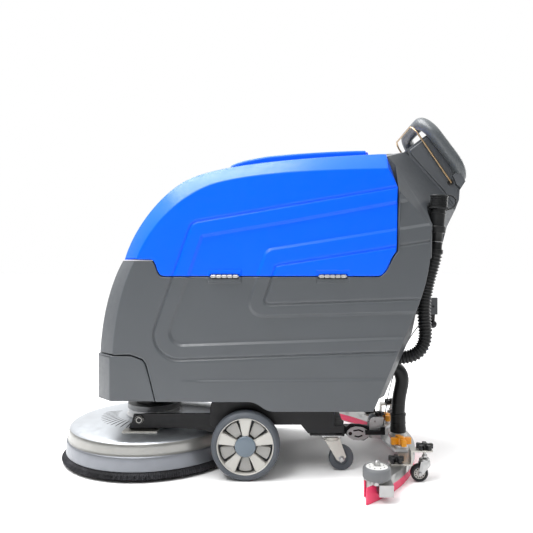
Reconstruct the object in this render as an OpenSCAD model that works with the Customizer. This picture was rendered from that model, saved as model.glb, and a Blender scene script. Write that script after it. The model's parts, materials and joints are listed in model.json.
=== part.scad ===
// Walk-behind floor scrubber. X runs to the rear, where the operator stands, and Z is up.
// The origin is on the floor, under the middle of the machine's length and width.
// The operator's left side is at -Y. All sizes are in millimetres.

/* [Body shells] */
// Half width across the two flat side panels
body_half_w = 265; // [263:1:266]
// Width and height of the bevel along the front and top edges
bevel = 50; // [48:1:52]
// Wall of the moulded shells
wall = 6; // [5:1:7]
// Gap along the seam between the two tanks
seam_gap = 3; // [2:1:3]

/* [Wheels] */
// Diameter of a transport wheel
wheel_d = 200; // [196:1:200]
// Width of a transport tyre
wheel_w = 45; // [40:1:46]
// Diameter of a rear caster wheel
caster_d = 75; // [70:1:75]
// Diameter of a squeegee caster wheel
small_caster_d = 50; // [48:1:50]

/* [Brush deck] */
// Diameter across the lower edge of the deck cover
deck_d = 554; // [548:1:556]
// Diameter of the scrubbing brush at its tips
brush_d = 510; // [490:1:520]
// Height of the bristle skirt above the floor
skirt_gap = 10; // [8:1:14]

/* [Squeegee] */
// Radius of the curved rear blade
blade_r = 560; // [558:1:562]
// Half width of the rear blade
blade_half_w = 432; // [428:1:434]
// Diameter of a bumper roller
roller_d = 75; // [72:1:76]

/* [Handle and hoses] */
// Diameter of the loop handle's tube
handle_d = 40; // [38:1:42]
// Outer diameter of the corrugated drain hose
drain_hose_d = 42; // [38:1:42]
// Outer diameter of the suction hose
suction_hose_d = 46; // [44:1:47]

/* [Hidden] */
$fn = 64;

// Body levels
bevel_half_w = body_half_w - bevel;
seam_z = 589;
console_half_w = 125;
rear_wall_x = 378.5;
hinge_y = -body_half_w - 5.4;
// Axles and pivots
axle_x = -38;
axle_z = wheel_d / 2;
axle_r = 10;
wheel_y = body_half_w + 10.7 - wheel_w / 2;
arm_pivot = [-100, 158];
deck_x = -361;
deck_pivot = [-364, 155];
arm_y = 182;
caster_x = 216;
caster_y = 173;
caster_trail = 30;
lift_pivot = [258, 74];
swing_x = 372;
arc_x = -67;
roller_pos = [320, 400];
small_caster_pos = [478, 267];
small_trail = 16;
wing_pos = [435, 140];
lever_pivot = [552, -60, 488];
bail_pivot = [591, 879];
handle_centre = [566.7, 986];
handle_tilt = 52.9;
panel_tilt = 55.1;
panel_centre = [575.6, 976.4];
filler_x = 428;
lid_pivot = [329, 967.5];
pitch_x = 391;

// Outlines in the XZ plane. Round stretches are cubic curves.
function curve(a, b, c, d, n = 8) = [for (i = [0 : n]) let (t = i / n, u = 1 - t)
    u * u * u * a + 3 * u * u * t * b + 3 * u * t * t * c + t * t * t * d];
tank_front_outer = curve([-405, 634], [-440, 572], [-466, 480], [-473, 363]);
tank_front_panel = curve([-355, 634], [-388, 572], [-412, 480], [-419, 363]);
tank_rear = concat([[330, 201], [450, 480]], curve([450, 480], [476, 542], [497, 610], [497, 700]),
    [[497, 737], [408, 834], [404, 838]]);
tank_outer = concat([[404, 640]], tank_front_outer, [[-473, 201]], tank_rear);
tank_panel = concat([[404, 640]], tank_front_panel, [[-419, 201]], tank_rear);
lid_outer = concat(curve([-400, 638], [-375, 728], [-287, 850], [-190, 884]),
    curve([-190, 884], [-110, 914], [40, 936], [358, 951]), [[376, 951], [398, 850], [398, 580], [-400, 580]]);
lid_panel = concat(curve([-350, 638], [-328, 704], [-258, 806], [-140, 852]),
    curve([-140, 852], [-60, 880], [120, 896], [374, 899]), [[401, 846], [400, 580], [-350, 580]]);
seam_front = curve([-312, 637.5], [-288, 637.5], [-298, seam_z + 1.5], [-272, seam_z + 1.5]);
seam_rear = curve([345, seam_z + 1.5], [368, 592], [378, 645], [398, 662]);
side_zone = concat([[-700, 1100], [-700, 637.5]], seam_front, seam_rear, [[401.5, 846], [401.5, 1100]]);
centre_zone = concat([[-700, 1100], [-700, 637.5]], seam_front,
    [[345, seam_z + 1.5], [rear_wall_x, seam_z + 1.5], [rear_wall_x, 1100]]);
cover_seam = [[-371, 361], [-335, 348], [-326, 336], [-313, 290], [-298, 229]];

// Routes of the hoses and the cable, chosen along their real runs
drain_route = [[522, -224, 668], [518, -218, 640], [511, -208, 605], [504, -199, 570], [499, -192, 538],
    [496, -188, 508], [496, -186, 478], [498, -185, 448], [500, -185, 420], [498, -185, 396],
    [490, -185, 374], [477, -185, 358], [460, -184, 348], [442, -182, 343], [424, -180, 341], [402, -180, 341]];
suction_route = [[453, 0, 66], [453, 0, 90], [453, 0, 120], [454, 0, 150], [457, 0, 180], [462, 0, 205],
    [466, 0, 226], [466, 0, 244], [461, 0, 260], [451, 0, 272], [437, 0, 279], [420, 0, 282], [402, 0, 283], [386, 0, 283]];
cable_route = [[396, -40, 92], [404, -40, 140], [412, -40, 188], [424, -41, 240], [440, -43, 290],
    [460, -46, 340], [486, -50, 390], [515, -54, 430], [538, -57, 452]];

// Helpers
function unit(v) = v / norm(v);
function tangent(p, i) = unit(p[min(i + 1, len(p) - 1)] - p[max(i - 1, 0)]);
function ring(p, i, r, n) = let (t = tangent(p, i), a = unit(cross(t, [0, 1, 0])), b = cross(a, t))
    [for (k = [0 : n - 1]) p[i] + r * (cos(360 * k / n) * a + sin(360 * k / n) * b)];

// Tube swept along the points of a route
module swept_tube(p, r, n) {
    rings = [for (i = [0 : len(p) - 1]) each ring(p, i, r, n)];
    last = (len(p) - 1) * n;
    sides = [for (i = [0 : len(p) - 2], k = [0 : n - 1])
        [i * n + k, i * n + (k + 1) % n, (i + 1) * n + (k + 1) % n, (i + 1) * n + k]];
    polyhedron(rings, concat([[for (k = [n - 1 : -1 : 0]) k]], [[for (k = [0 : n - 1]) last + k]], sides));
}

// XZ outline pulled out between two Y positions
module slab(y0, y1) {
    translate([0, y1, 0]) rotate([90, 0, 0]) linear_extrude(y1 - y0) children();
}

// Convex shell form with one outline at the side panels and one at the bevel
module bevelled(inset = 0) {
    hull() {
        slab(-bevel_half_w + inset / 2, bevel_half_w - inset / 2) offset(delta = -inset) children(0);
        slab(-body_half_w + inset, body_half_w - inset) offset(delta = -inset) children(1);
    }
}

// Space of the upper tank, grown by the seam gap where the lower one is cut back
module upper_zone(grow) {
    slab(-400, grow - bevel_half_w) offset(delta = grow) polygon(side_zone);
    slab(bevel_half_w - grow, 400) offset(delta = grow) polygon(side_zone);
    slab(-400, 400) offset(delta = grow) polygon(centre_zone);
}

module box(low, high) {
    translate(low) cube(high - low);
}

// Round bar along Y
module bar_y(x, z, r, y0, y1) {
    translate([x, y1, z]) rotate([90, 0, 0]) cylinder(r = r, h = y1 - y0);
}

// Ring or disc with a bore, lying flat
module washer(r, bore, h) {
    difference() {
        cylinder(r = r, h = h);
        translate([0, 0, -1]) cylinder(r = bore, h = h + 2);
    }
}

module mirrored_y() {
    children();
    mirror([0, 1, 0]) children();
}

// Hand knob with round lobes on a hub
module star_knob(hub_r, lobe_r, reach, lobes, h) {
    cylinder(r = hub_r, h = h);
    for (i = [0 : lobes - 1]) {
        rotate([0, 0, 360 * i / lobes]) translate([reach, 0, 0]) cylinder(r = lobe_r, h = h * 0.8);
    }
    for (i = [0 : lobes - 1]) {
        rotate([0, 0, 360 * i / lobes]) translate([0, -lobe_r * 0.7, 0]) cube([reach, lobe_r * 1.4, h * 0.8]);
    }
}

// Steel frame that carries the tanks, wheels, deck and squeegee
module chassis() {
    plate = [[-146, 200], [-138, 228.6], [-34, 228.6], [20, 200.6], [222, 200.6], [222, 124], [144, 124],
        [123, 149], [22, 149], [-8, 80], [-68, 80], [-98, 130], [-120, 128], [-146, 150]];
    color("#1d1d1f") {
        difference() {
            mirrored_y() slab(216, 222) polygon(plate);
            bar_y(axle_x, axle_z, axle_r + 0.02, -230, 230);
            bar_y(arm_pivot[0], arm_pivot[1], 8.02, -230, 230);
        }
        box([-142, -216, 180], [-122, 216, 198]);
        box([60, -216, 176], [80, 216, 194]);
        difference() {
            box([222, -206, 112], [250, 206, 146]);
            box([226, -207, 116], [246, 207, 142]);
        }
        mirrored_y() box([200, 206, 124], [250, 222, 146]);
        box([150, -206, 112], [222, 206, 118]);
        difference() {
            mirrored_y() slab(26, 34) polygon([[228, 114], [228, 86], [246, 58], [270, 58], [274, 90], [250, 114]]);
            bar_y(lift_pivot[0], lift_pivot[1], 8.05, -40, 40);
        }
    }
}

// Grey lower moulding: water walls, battery bay, motor recess and rear tower
module solution_tank() {
    color("#6b6f73") difference() {
        union() {
            bevelled() {
                polygon(tank_outer);
                polygon(tank_panel);
            }
            tower(0);
            translate([filler_x, 0, 930]) cylinder(r = 21, h = 46);
        }
        upper_zone(seam_gap);
        tip_relief();
        cover_recess();
        underside_cut();
        water_space();
        box([-80, -185, 240], [300, 185, 640]);
        translate([deck_x, 0, 180]) cylinder(r = 96, h = 172);
        rear_space();
        hose_niche();
        filler_bore();
    }
}

// Rear tower: wide bevels that rise from the side panels to the console
module tower(inset) {
    hull() {
        slab(-body_half_w + inset, body_half_w - inset)
            offset(delta = -inset) polygon([[404, 640], [404, 838], [408, 834], [497, 737], [497, 640]]);
        slab(-bevel_half_w + 3 + inset, bevel_half_w - 3 - inset)
            offset(delta = -inset) polygon([[381.5, 640], [381.5, 945], [420, 900], [420, 640]]);
        slab(-console_half_w + inset, console_half_w - inset) offset(delta = -inset)
            polygon([[381.5, 640], [381.5, 965], [452, 975], [466, 959.8], [570, 846.8], [608, 795], [582, 744], [500, 640]]);
    }
    slab(-console_half_w + inset, console_half_w - inset) offset(delta = -inset)
        polygon([[420, 560], [420, 760], [590, 760], [582, 744], [560, 656], [526, 560]]);
}

// Room behind the upper tank's far edge, so that it clears the tower as it tips
module tip_relief() {
    difference() {
        box([370, -400, seam_z], [404, 400, 1100]);
        translate([360, hinge_y, seam_z]) rotate([0, 90, 0]) cylinder(r = 481, h = 60, $fn = 128);
        box([360, -400, 500], [410, -30, 1100]);
    }
}

module cover_recess() {
    slab(-400, 400) polygon(concat([[-600, 364], [-371, 364]], [for (p = cover_seam) p + [2, 3]],
        [[-295, 190], [-600, 190]]));
}

module underside_cut() {
    slab(-400, 400) polygon(concat([[-600, 150], [-600, 229], [-30, 229]],
        curve([-30, 229], [5, 229], [10, 201], [45, 201]), [[45, 150]]));
}

module water_space() {
    difference() {
        bevelled(wall) {
            polygon(tank_outer);
            polygon(tank_panel);
        }
        upper_zone(seam_gap + wall);
        slab(-400, 400) offset(delta = wall) polygon(concat([[-600, 364], [-371, 364]],
            [for (p = cover_seam) p + [2, 3]], [[-295, 190], [-600, 190]]));
        slab(-400, 400) offset(delta = wall) polygon([[-600, 100], [-600, 229], [-30, 229], [45, 201], [45, 100]]);
        box([-86, -191, 100], [306, 191, 700]);
        translate([deck_x, 0, 100]) cylinder(r = 102, h = 258);
        box([380, -400, seam_z - 6], [410, 400, 1100]);
        box([432, -116, 100], [700, 116, 562]);
        box([444, -56, 540], [516, 56, 646]);
        translate([492, 0, 626]) cylinder(r = 60, h = 170);
        translate([518, -232, 614]) rotate([0, 3.6, 0]) cylinder(r = 41, h = 240);
    }
}

module rear_space() {
    box([438, -110, 262], [600, 110, 556]);
    translate([492, 0, 632]) cylinder(r = 54, h = 158);
    box([450, -50, 550], [508, 50, 640]);
}

// Hollow in the left rear corner where the drain hose's end is parked
module hose_niche() {
    translate([518, -232, 620]) rotate([0, 3.6, 0]) cylinder(r = 34.5, h = 225);
}

// Fill opening in the tower's top with its pipe down to the water
module filler_bore() {
    translate([filler_x, 0, 798]) cylinder(r = 14, h = 200);
}

module front_cover() {
    outer = concat([[-478, 229], [-478, 361]], cover_seam);
    panel = concat([[-428, 229], [-428, 361]], cover_seam);
    color("#686c70") difference() {
        bevelled() {
            polygon(outer);
            polygon(panel);
        }
        bevelled(4) {
            polygon(concat([[-478, 200], [-478, 361]], cover_seam, [[-220, 200]]));
            polygon(concat([[-428, 200], [-428, 361]], cover_seam, [[-220, 200]]));
        }
        box([-330, -200, 200], [-280, 200, 342]);
    }
}

// Dark cover that closes the rear compartment, with the lever's bracket on it
module rear_cover() {
    tank_side = [[300, 190], [328.5, 190], [452.5, 478], [468, 515], [486, 566], [300, 566]];
    color("#3a3c40") difference() {
        union() {
            hull() {
                slab(-252, 252) polygon([[336, 232], [456, 508], [462, 508], [348, 232]]);
                slab(-205, 205) polygon([[336, 230], [452, 508], [466, 508], [463, 465], [455, 420], [372, 230]]);
            }
            slab(-console_half_w, console_half_w) polygon([[450, 470], [484, 470], [504, 500], [525, 556], [470, 556]]);
            box([456, -74, 462], [566, -66, 516]);
        }
        slab(-300, 300) polygon(tank_side);
        slab(-198, 198) polygon([[330, 236], [368, 236], [450, 422], [458, 466], [461, 502], [440, 502]]);
        slab(4 - console_half_w, console_half_w - 4) polygon([[440, 476], [480, 476], [500, 503], [518, 551], [440, 551]]);
        translate([380, 0, 283]) rotate([0, 90, 0]) cylinder(r = suction_hose_d / 2 + 0.3, h = 60);
        translate([390, -180, 341]) rotate([0, 90, 0]) cylinder(r = drain_hose_d / 2 + 0.3, h = 60);
        translate([380, 130, 300]) rotate([0, 90, 0]) cylinder(r = 22.1, h = 60);
        bar_y(lever_pivot[0], lever_pivot[2], 4.05, -80, -60);
    }
}

// Console shell between the tower and the loop handle
module console_housing() {
    side = [[466, 960], [456, 983], [512, 1024], [534, 1036], [640, 884], [622, 856], [620, 826], [608, 795],
        [570, 847]];
    color("#54585c") difference() {
        slab(-console_half_w, console_half_w) polygon(side);
        slab(-console_half_w + 4, console_half_w - 4) offset(delta = -4) polygon(side);
        on_panel(-64.3, -100, -20) cube([128.6, 200, 40]);
        bar_y(bail_pivot[0], bail_pivot[1], 3.06, -200, 200);
    }
    color("#3d4044") mirrored_y() slab(console_half_w, 145) polygon([[596, 900], [612, 915], [632, 886], [620, 860], [606, 872]]);
}

// Sloping plate that carries the switches
module control_panel() {
    color("#26282b") on_panel(0, 0, 0) difference() {
        translate([-64, -99.5, -6]) cube([128, 199, 5]);
        translate([30, -60, -10]) cylinder(r = 9.05, h = 20);
        translate([30, 10, -10]) cylinder(r = 8.3, h = 20);
        translate([30, 50, -10]) cylinder(r = 8.3, h = 20);
        translate([-52, -52, -3]) cube([50, 104, 6]);
    }
}

// Closed rounded loop around the console
module handle_loop() {
    half_l = 105;
    half_w = 150;
    corner = 65;
    color("#7d8286") translate([handle_centre[0], 0, handle_centre[1]]) rotate([0, handle_tilt, 0]) {
        for (sx = [-1, 1]) {
            translate([sx * half_l, half_w - corner, 0]) rotate([90, 0, 0])
                cylinder(d = handle_d, h = 2 * (half_w - corner));
            for (sy = [-1, 1]) {
                translate([sx * (half_l - corner), sy * (half_w - corner), 0])
                    rotate([0, 0, sx > 0 ? (sy > 0 ? 0 : -90) : (sy > 0 ? 90 : 180)])
                    rotate_extrude(angle = 90) translate([corner, 0]) circle(d = handle_d);
            }
        }
        for (sy = [-1, 1]) {
            translate([corner - half_l, sy * half_w, 0]) rotate([0, 90, 0])
                cylinder(d = handle_d, h = 2 * (half_l - corner));
        }
    }
}

module batteries() {
    color("#2b2b2e") for (y = [-178, 4]) {
        box([-60, y, 240.5], [270, y + 174, 452]);
        for (x = [-30, 240]) {
            translate([x, y + 40, 452]) cylinder(r = 9, h = 12);
        }
    }
}

module wheel_axle() {
    color("#b9bcc0") {
        bar_y(axle_x, axle_z, axle_r, -272, 272);
        bar_y(arm_pivot[0], arm_pivot[1], 8, -225, 225);
        bar_y(lift_pivot[0], lift_pivot[1], 8, -36, 36);
    }
}

module water_valve() {
    color("#303235") translate([-200, 100, 205]) {
        box([-18, -14, -20], [18, 14, 8]);
        cylinder(r = 9, h = 24);
        translate([18, 0, -6]) rotate([0, 90, 0]) cylinder(r = 7, h = 20);
    }
}

module vacuum_motor() {
    color("#2a2c2f") translate([492, 0, 632.2]) {
        cylinder(r = 52, h = 60);
        translate([0, 0, 60]) cylinder(r = 44, h = 70);
    }
}

module control_board() {
    color("#2f6b43") box([439, -60, 434], [443, 60, 554]);
    color("#c9c9c9") box([443, -40, 500], [458, 40, 550]);
}

// Socket for the charger's plug, set in the rear cover
module charger_socket() {
    color("#1b1b1d") translate([388, 130, 300]) rotate([0, 90, 0]) difference() {
        union() {
            cylinder(r = 22, h = 36);
            translate([0, 0, 31]) cylinder(r = 28, h = 5);
        }
        translate([0, 0, 6]) cylinder(r = 16, h = 40);
    }
}

// Knuckles and leaves along the left seam; side 0 is the lower leaf, 1 the upper one
module hinge_leaves(side) {
    for (x = [-137, 174]) {
        for (k = [side : 2 : 4]) {
            translate([x + k * 15.8, hinge_y, seam_z]) rotate([0, 90, 0]) washer(5, 2.05, 15);
            z0 = side == 0 ? seam_z - 16 : seam_z + 2;
            box([x + k * 15.8, hinge_y + 3, z0], [x + k * 15.8 + 15, hinge_y + 5.4, z0 + 14]);
        }
        if (side == 0) {
            translate([x - 1, hinge_y, seam_z]) rotate([0, 90, 0]) cylinder(r = 2, h = 80.5);
        }
    }
}

module lower_hinges() {
    color("#d8d4cc") hinge_leaves(0);
}

module upper_hinges() {
    color("#d8d4cc") {
        hinge_leaves(1);
        mirrored_y() bar_y(lid_pivot[0], lid_pivot[1], 2, 106, 134);
    }
}

module drain_hose() {
    color("#18181a") {
        swept_tube(drain_route, drain_hose_d / 2, 12);
        translate([522, -224, 668]) rotate([0, 3.6, 0]) {
            cylinder(r = 17, h = 57);
            translate([0, 0, 57]) cylinder(r1 = 19, r2 = 22, h = 60);
        }
    }
}

module drain_cap() {
    color("#151517") translate([522, -224, 668]) rotate([0, 3.6, 0]) {
        translate([0, 0, 117.4]) cylinder(r = 25, h = 42);
    }
}

// Screw cap on the fill opening
module filler_cap() {
    color("#1a1a1c") translate([filler_x, 0, 976.4]) {
        cylinder(r = 23.5, h = 13);
        translate([0, 0, -18]) cylinder(r = 13.4, h = 19);
    }
}

module suction_hose() {
    color("#1a1a1c") swept_tube(suction_route, suction_hose_d / 2, 12);
}

module lift_cable() {
    color("#9a9da0") swept_tube(cable_route, 1.5, 8);
}

module caster_plates() {
    color("#c4c7ca") mirrored_y() translate([caster_x, caster_y, 0]) {
        translate([-32, -32, 108.8]) cube([64, 64, 3.2]);
        translate([0, 0, 92]) cylinder(r = 6, h = 18);
    }
}

module recovery_tank() {
    color("#0a6cff") difference() {
        intersection() {
            bevelled() {
                polygon(lid_outer);
                polygon(lid_panel);
            }
            upper_zone(0);
        }
        intersection() {
            bevelled(wall) {
                polygon(lid_outer);
                polygon(lid_panel);
            }
            upper_zone(-wall);
        }
        box([-66, -128, 850], [296, 128, 1000]);
        translate([300, -95, 580]) cylinder(r = 20.1, h = 30);
    }
    color("#0a6cff") mirrored_y() lid_ear();
}

// Ear on the tank's roof that holds the lid's hinge pin
module lid_ear() {
    difference() {
        union() {
            box([lid_pivot[0] - 5, 120, 946], [lid_pivot[0] + 5, 134, lid_pivot[1]]);
            bar_y(lid_pivot[0], lid_pivot[1], 5, 120, 134);
        }
        bar_y(lid_pivot[0], lid_pivot[1], 2.05, 110, 140);
    }
}

// Strainer basket, float and suction pipe inside the upper tank
module float_shutoff() {
    color("#d9d9d4") {
        translate([300, -95, 588.5]) cylinder(r = 20, h = 230);
        translate([300, -95, 818.5]) washer(34, 26, 60);
        translate([300, -95, 816]) cylinder(r = 34, h = 3);
        translate([300, -95, 826]) cylinder(r = 24, h = 30);
    }
}

module filter_cover() {
    color("#0a5fe0") slab(-70, 70) polygon([[332, 952], [332, 966], [368, 968], [372, 953]]);
}

// Lift-up lid over the recovery tank's opening
module tank_lid() {
    roof = [[-92, 912], [-60, 919], [0, 928], [80, 937], [160, 943], [240, 948], [326, 952]];
    color("#0a64f0") difference() {
        union() {
            slab(-155, 155) polygon(concat(roof, [[326, 974], [60, 962], [-60, 941], [-90, 930]]));
            mirrored_y() bar_y(lid_pivot[0], lid_pivot[1], 5, 104, 119.5);
        }
        slab(-148, 148) polygon([[-78, 900], [-78, 930], [60, 955], [316, 967], [316, 900]]);
        mirrored_y() box([lid_pivot[0] - 13, 119.5, 900], [400, 134.5, 1000]);
        mirrored_y() bar_y(lid_pivot[0], lid_pivot[1], 2.05, 90, 125);
    }
}

// Two side arms that raise the deck
module lift_arms() {
    arm = [[-397, 128], [-391, 141], [-368, 170], [-340, 173], [-94, 173], [-84, 164], [-84, 146],
        [-98, 123], [-150, 117], [-165, 122], [-200, 127], [-250, 130], [-296, 130]];
    color("#161618") difference() {
        mirrored_y() slab(arm_y - 4, arm_y + 4) polygon(arm);
        bar_y(arm_pivot[0], arm_pivot[1], 8.06, -230, 230);
        bar_y(deck_pivot[0], deck_pivot[1], 6.06, -230, 230);
    }
}

module deck_cover() {
    rim = deck_d / 2 - 7;
    color("#c9ced4") rotate_cover() polygon([[92, 128], [180, 122], [240, 112], [262, 105], [rim, 97],
        [rim + 2, 72], [rim + 5, 66], [rim + 7, 28], [rim + 4, 28], [rim + 2, 64], [rim - 1, 70],
        [rim - 3, 95], [260, 102], [240, 109], [180, 119], [70, 125], [70, 128]]);
}

module rotate_cover() {
    translate([deck_x, 0, 0]) rotate_extrude($fn = 128) children();
}

module brush_motor() {
    translate([deck_x, 0, 0]) {
        color("#8b8f93") translate([0, 0, 128]) washer(83, 12.55, 24);
        color("#8b8f93") translate([0, 0, 96]) washer(60, 12.55, 33);
        color("#1b1b1e") translate([0, 0, 152]) cylinder(r = 87, h = 16);
    }
}

// Motor housing that stands up into the recess behind the bumper cover
module motor_can() {
    color("#2a2b2e") translate([deck_x, 0, 168]) {
        cylinder(r = 60, h = 112);
        translate([0, 0, 112]) cylinder(r = 48, h = 20);
    }
}

module deck_skirt() {
    rim = deck_d / 2 - 5;
    color("#131315") rotate_cover() polygon([[rim - 9, 58], [rim - 2, 58], [rim + 1, 27.5],
        [rim + 17, skirt_gap], [rim + 8, skirt_gap], [rim - 7, 27.5]]);
}

// Ears on the deck that the lift arms bolt to, with their pivot bolts
module deck_brackets() {
    color("#232326") mirrored_y() difference() {
        union() {
            slab(arm_y - 14, arm_y - 4.6) polygon([[-394, 126], [-384, 168], [-344, 168], [-322, 126]]);
            box([-396, arm_y - 32, 124.2], [-316, arm_y - 4.6, 127]);
        }
        bar_y(deck_pivot[0], deck_pivot[1], 6, -arm_y + 6, arm_y - 6);
    }
    color("#d8d0c0") mirrored_y() {
        bar_y(deck_pivot[0], deck_pivot[1], 6, arm_y - 13, arm_y + 5);
        bar_y(deck_pivot[0], deck_pivot[1], 12, arm_y + 4.4, arm_y + 12);
    }
}

// Brush plate with its drive hub and shaft
module brush_disc() {
    color("#3c3f45") translate([deck_x, 0, 0]) {
        translate([0, 0, 38]) washer(225, 40, 20);
        translate([0, 0, 44]) cylinder(r = 42, h = 40);
        translate([0, 0, 80]) cylinder(r = 12.5, h = 60);
    }
}

module brush_bristles() {
    color("#101012") translate([deck_x, 0, 0]) rotate_extrude($fn = 96)
        polygon([[70, 0], [brush_d / 2, 0], [222, 38], [80, 38]]);
}

// Five-spoke rim; the open side of the spokes faces out
module wheel_rim() {
    difference() {
        union() {
            washer(82, 76, wheel_w - 4);
            translate([0, 0, 10]) cylinder(r = 78, h = 8);
            cylinder(r = 20, h = wheel_w - 6);
            translate([0, 0, wheel_w - 12]) cylinder(r = 29, h = 12);
            for (i = [0 : 4]) {
                rotate([0, 0, 90 + 72 * i]) linear_extrude(wheel_w - 7)
                    polygon([[22, -9], [78, -20], [78, 20], [22, 9]]);
            }
            for (i = [0 : 4]) {
                rotate([0, 0, 126 + 72 * i]) linear_extrude(wheel_w - 18)
                    polygon([[34, -10], [72, -17], [72, 17], [34, 10]]);
            }
        }
        translate([0, 0, -1]) cylinder(r = axle_r + 0.05, h = wheel_w - 1);
    }
}

module wheel_tyre() {
    rotate_extrude($fn = 96) polygon([[82, 1], [92, 0], [wheel_d / 2 - 3, 5], [wheel_d / 2, 12],
        [wheel_d / 2, wheel_w - 12], [wheel_d / 2 - 3, wheel_w - 5], [92, wheel_w], [82, wheel_w - 1]]);
}

// Places a wheel made along Z on the axle, its open side outwards
module on_axle(side) {
    translate([axle_x, side * (wheel_y - wheel_w / 2), axle_z]) rotate([-90 * side, 0, 0]) children();
}

module caster_fork(y) {
    color("#c2c0b8") translate([caster_x, y, 0]) {
        translate([0, 0, 100]) washer(26, 6.05, 7);
        difference() {
            for (s = [-1, 1]) {
                slab(s * 17 - 1.5, s * 17 + 1.5)
                    polygon([[-24, 101], [24, 101], [caster_trail + 14, 44], [caster_trail, 26], [caster_trail - 14, 34]]);
            }
            bar_y(caster_trail, caster_d / 2, 4.02, -30, 30);
        }
        difference() {
            translate([-24, -18, 98]) cube([48, 36, 4]);
            translate([0, 0, 90]) cylinder(r = 6.05, h = 20);
        }
        bar_y(caster_trail, caster_d / 2, 4, -20, 20);
    }
}

// Solid rubber wheel with a bore, axis along Y
module plain_wheel(x, y, d, w, bore) {
    translate([x, y + w / 2, d / 2]) rotate([90, 0, 0]) difference() {
        union() {
            translate([0, 0, 2]) cylinder(d = d, h = w - 4);
            cylinder(d = d - 8, h = w);
        }
        translate([0, 0, -1]) cylinder(r = bore, h = w + 2);
    }
}

module caster_wheel(y) {
    color("#2e3138") plain_wheel(caster_x + caster_trail, y, caster_d, 26, 4.06);
}

// Bar and plates that raise the squeegee, with the pin it swings on
module squeegee_arm() {
    color("#17171a") difference() {
        union() {
            bar_y(lift_pivot[0], lift_pivot[1], 16, -24, 24);
            box([258, -20, 62], [330, 20, 84]);
        }
        bar_y(lift_pivot[0], lift_pivot[1], 8.06, -40, 40);
    }
    color("#85888a") {
        slab(-26, -20) polygon([[276, 84], [290, 96], [320, 96], [346, 90], [350, 80], [350, 52], [336, 42], [300, 44], [276, 62]]);
        box([330, -20, 62], [352, 20, 82]);
        box([350, -12, 66], [swing_x, 12, 78]);
        translate([swing_x, 0, 66]) cylinder(r = 17, h = 12);
        translate([swing_x, 0, 44]) cylinder(r = 8, h = 66);
        box([338, -46, 66], [350, -26, 78]);
        box([346, -46, 66], [402, -34, 78]);
        box([388, -44, 76], [402, -36, 90]);
    }
}

// Swinging bracket: hub, upright plate and the wide beam that holds the squeegee
module squeegee_bracket() {
    beam = [[392, -60], [410, -165], [452, -165], [452, -112], [418, -60], [418, 60], [452, 112], [452, 165],
        [410, 165], [392, 60]];
    color("#8c8f91") difference() {
        union() {
            translate([swing_x, 0, 46]) cylinder(r = 18, h = 18.6);
            translate([swing_x, 0, 79.4]) cylinder(r = 18, h = 24);
            box([384, -18, 46], [394, 18, 64]);
            box([392, -24, 44], [400, 24, 118]);
            box([384, -18, 79.4], [400, 18, 118]);
            translate([0, 0, 50]) linear_extrude(8) polygon(beam);
        }
        translate([swing_x, 0, 40]) cylinder(r = 8.06, h = 90);
        for (y = [-wing_pos[1], wing_pos[1]]) {
            translate([wing_pos[0], y, 40]) cylinder(r = 5.06, h = 30);
        }
        translate([pitch_x, 0, 103]) cylinder(r = 4.06, h = 20);
    }
    color("#1b1b1d") for (y = [-wing_pos[1], wing_pos[1]]) {
        translate([wing_pos[0], y, 58]) washer(21, 5.06, 8);
    }
}

// Ring sector about the blade's centre
module arc_band(r0, r1, z0, z1, half_angle) {
    translate([arc_x, 0, z0]) rotate([0, 0, -half_angle])
        rotate_extrude(angle = 2 * half_angle, $fn = 180) translate([r0, 0]) square([r1 - r0, z1 - z0]);
}

module squeegee_body() {
    color("#b9bcbf") {
        difference() {
            union() {
                arc_band(516, blade_r + 3, 26, 49.6, 46.5);
                mirrored_y() box([322, 380, 19], [360, 428, 49.6]);
                mirrored_y() translate([roller_pos[0], roller_pos[1], 45]) cylinder(r = 20, h = 8);
            }
            arc_band(528, blade_r - 6, 20, 44, 45.6);
            arc_band(blade_r - 4.2, blade_r + 0.2, -1, 45, 60);
            arc_band(519.8, 524.2, 20, 45, 60);
            mirrored_y() end_clearance();
            for (y = [-wing_pos[1], wing_pos[1]]) {
                translate([wing_pos[0], y, 20]) cylinder(r = 5.1, h = 60);
            }
            translate([453, 0, 43]) cylinder(r = 20.1, h = 30);
        }
        mirrored_y() translate([roller_pos[0], roller_pos[1], 50]) {
            cylinder(r = 6, h = 46);
            translate([0, 0, 42.5]) cylinder(r = 9, h = 9, $fn = 6);
            translate([0, 0, 50]) sphere(r = 7);
        }
    }
}

// Keeps the end block outside the blade's own curve
module end_clearance() {
    difference() {
        box([200, 380, 10], [420, 440, 45]);
        translate([arc_x, 0, 5]) rotate_extrude($fn = 180) translate([blade_r + 0.3, 0]) square([80, 45]);
        arc_band(510, blade_r + 4, 5, 50, 46.5);
    }
}

// Z bracket that carries a squeegee caster
module caster_bracket() {
    x = small_caster_pos[0];
    y = small_caster_pos[1];
    difference() {
        union() {
            box([378, y - 18, 49.6], [440, y + 18, 54]);
            box([435, y - 18, 49.6], [440, y + 18, 92]);
            box([435, y - 18, 88], [x + 20, y + 18, 93]);
        }
        translate([x, y, 80]) cylinder(r = 4.06, h = 20);
    }
    translate([396, y, 54]) {
        translate([0, 0, -2]) cylinder(r = 4, h = 6);
        translate([0, 0, 2]) star_knob(11, 6, 18, 5, 16);
    }
}

// Both Z brackets, with the star knobs that fix them to the squeegee's body
module caster_brackets() {
    color("#b9bcbf") mirrored_y() caster_bracket();
}

module squeegee_blades() {
    tip = asin(blade_half_w / blade_r);
    color("#e2486c") {
        arc_band(blade_r - 4, blade_r, 0, 44.6, tip);
        arc_band(520, 524, 1.5, 44.6, 47);
    }
}

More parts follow.
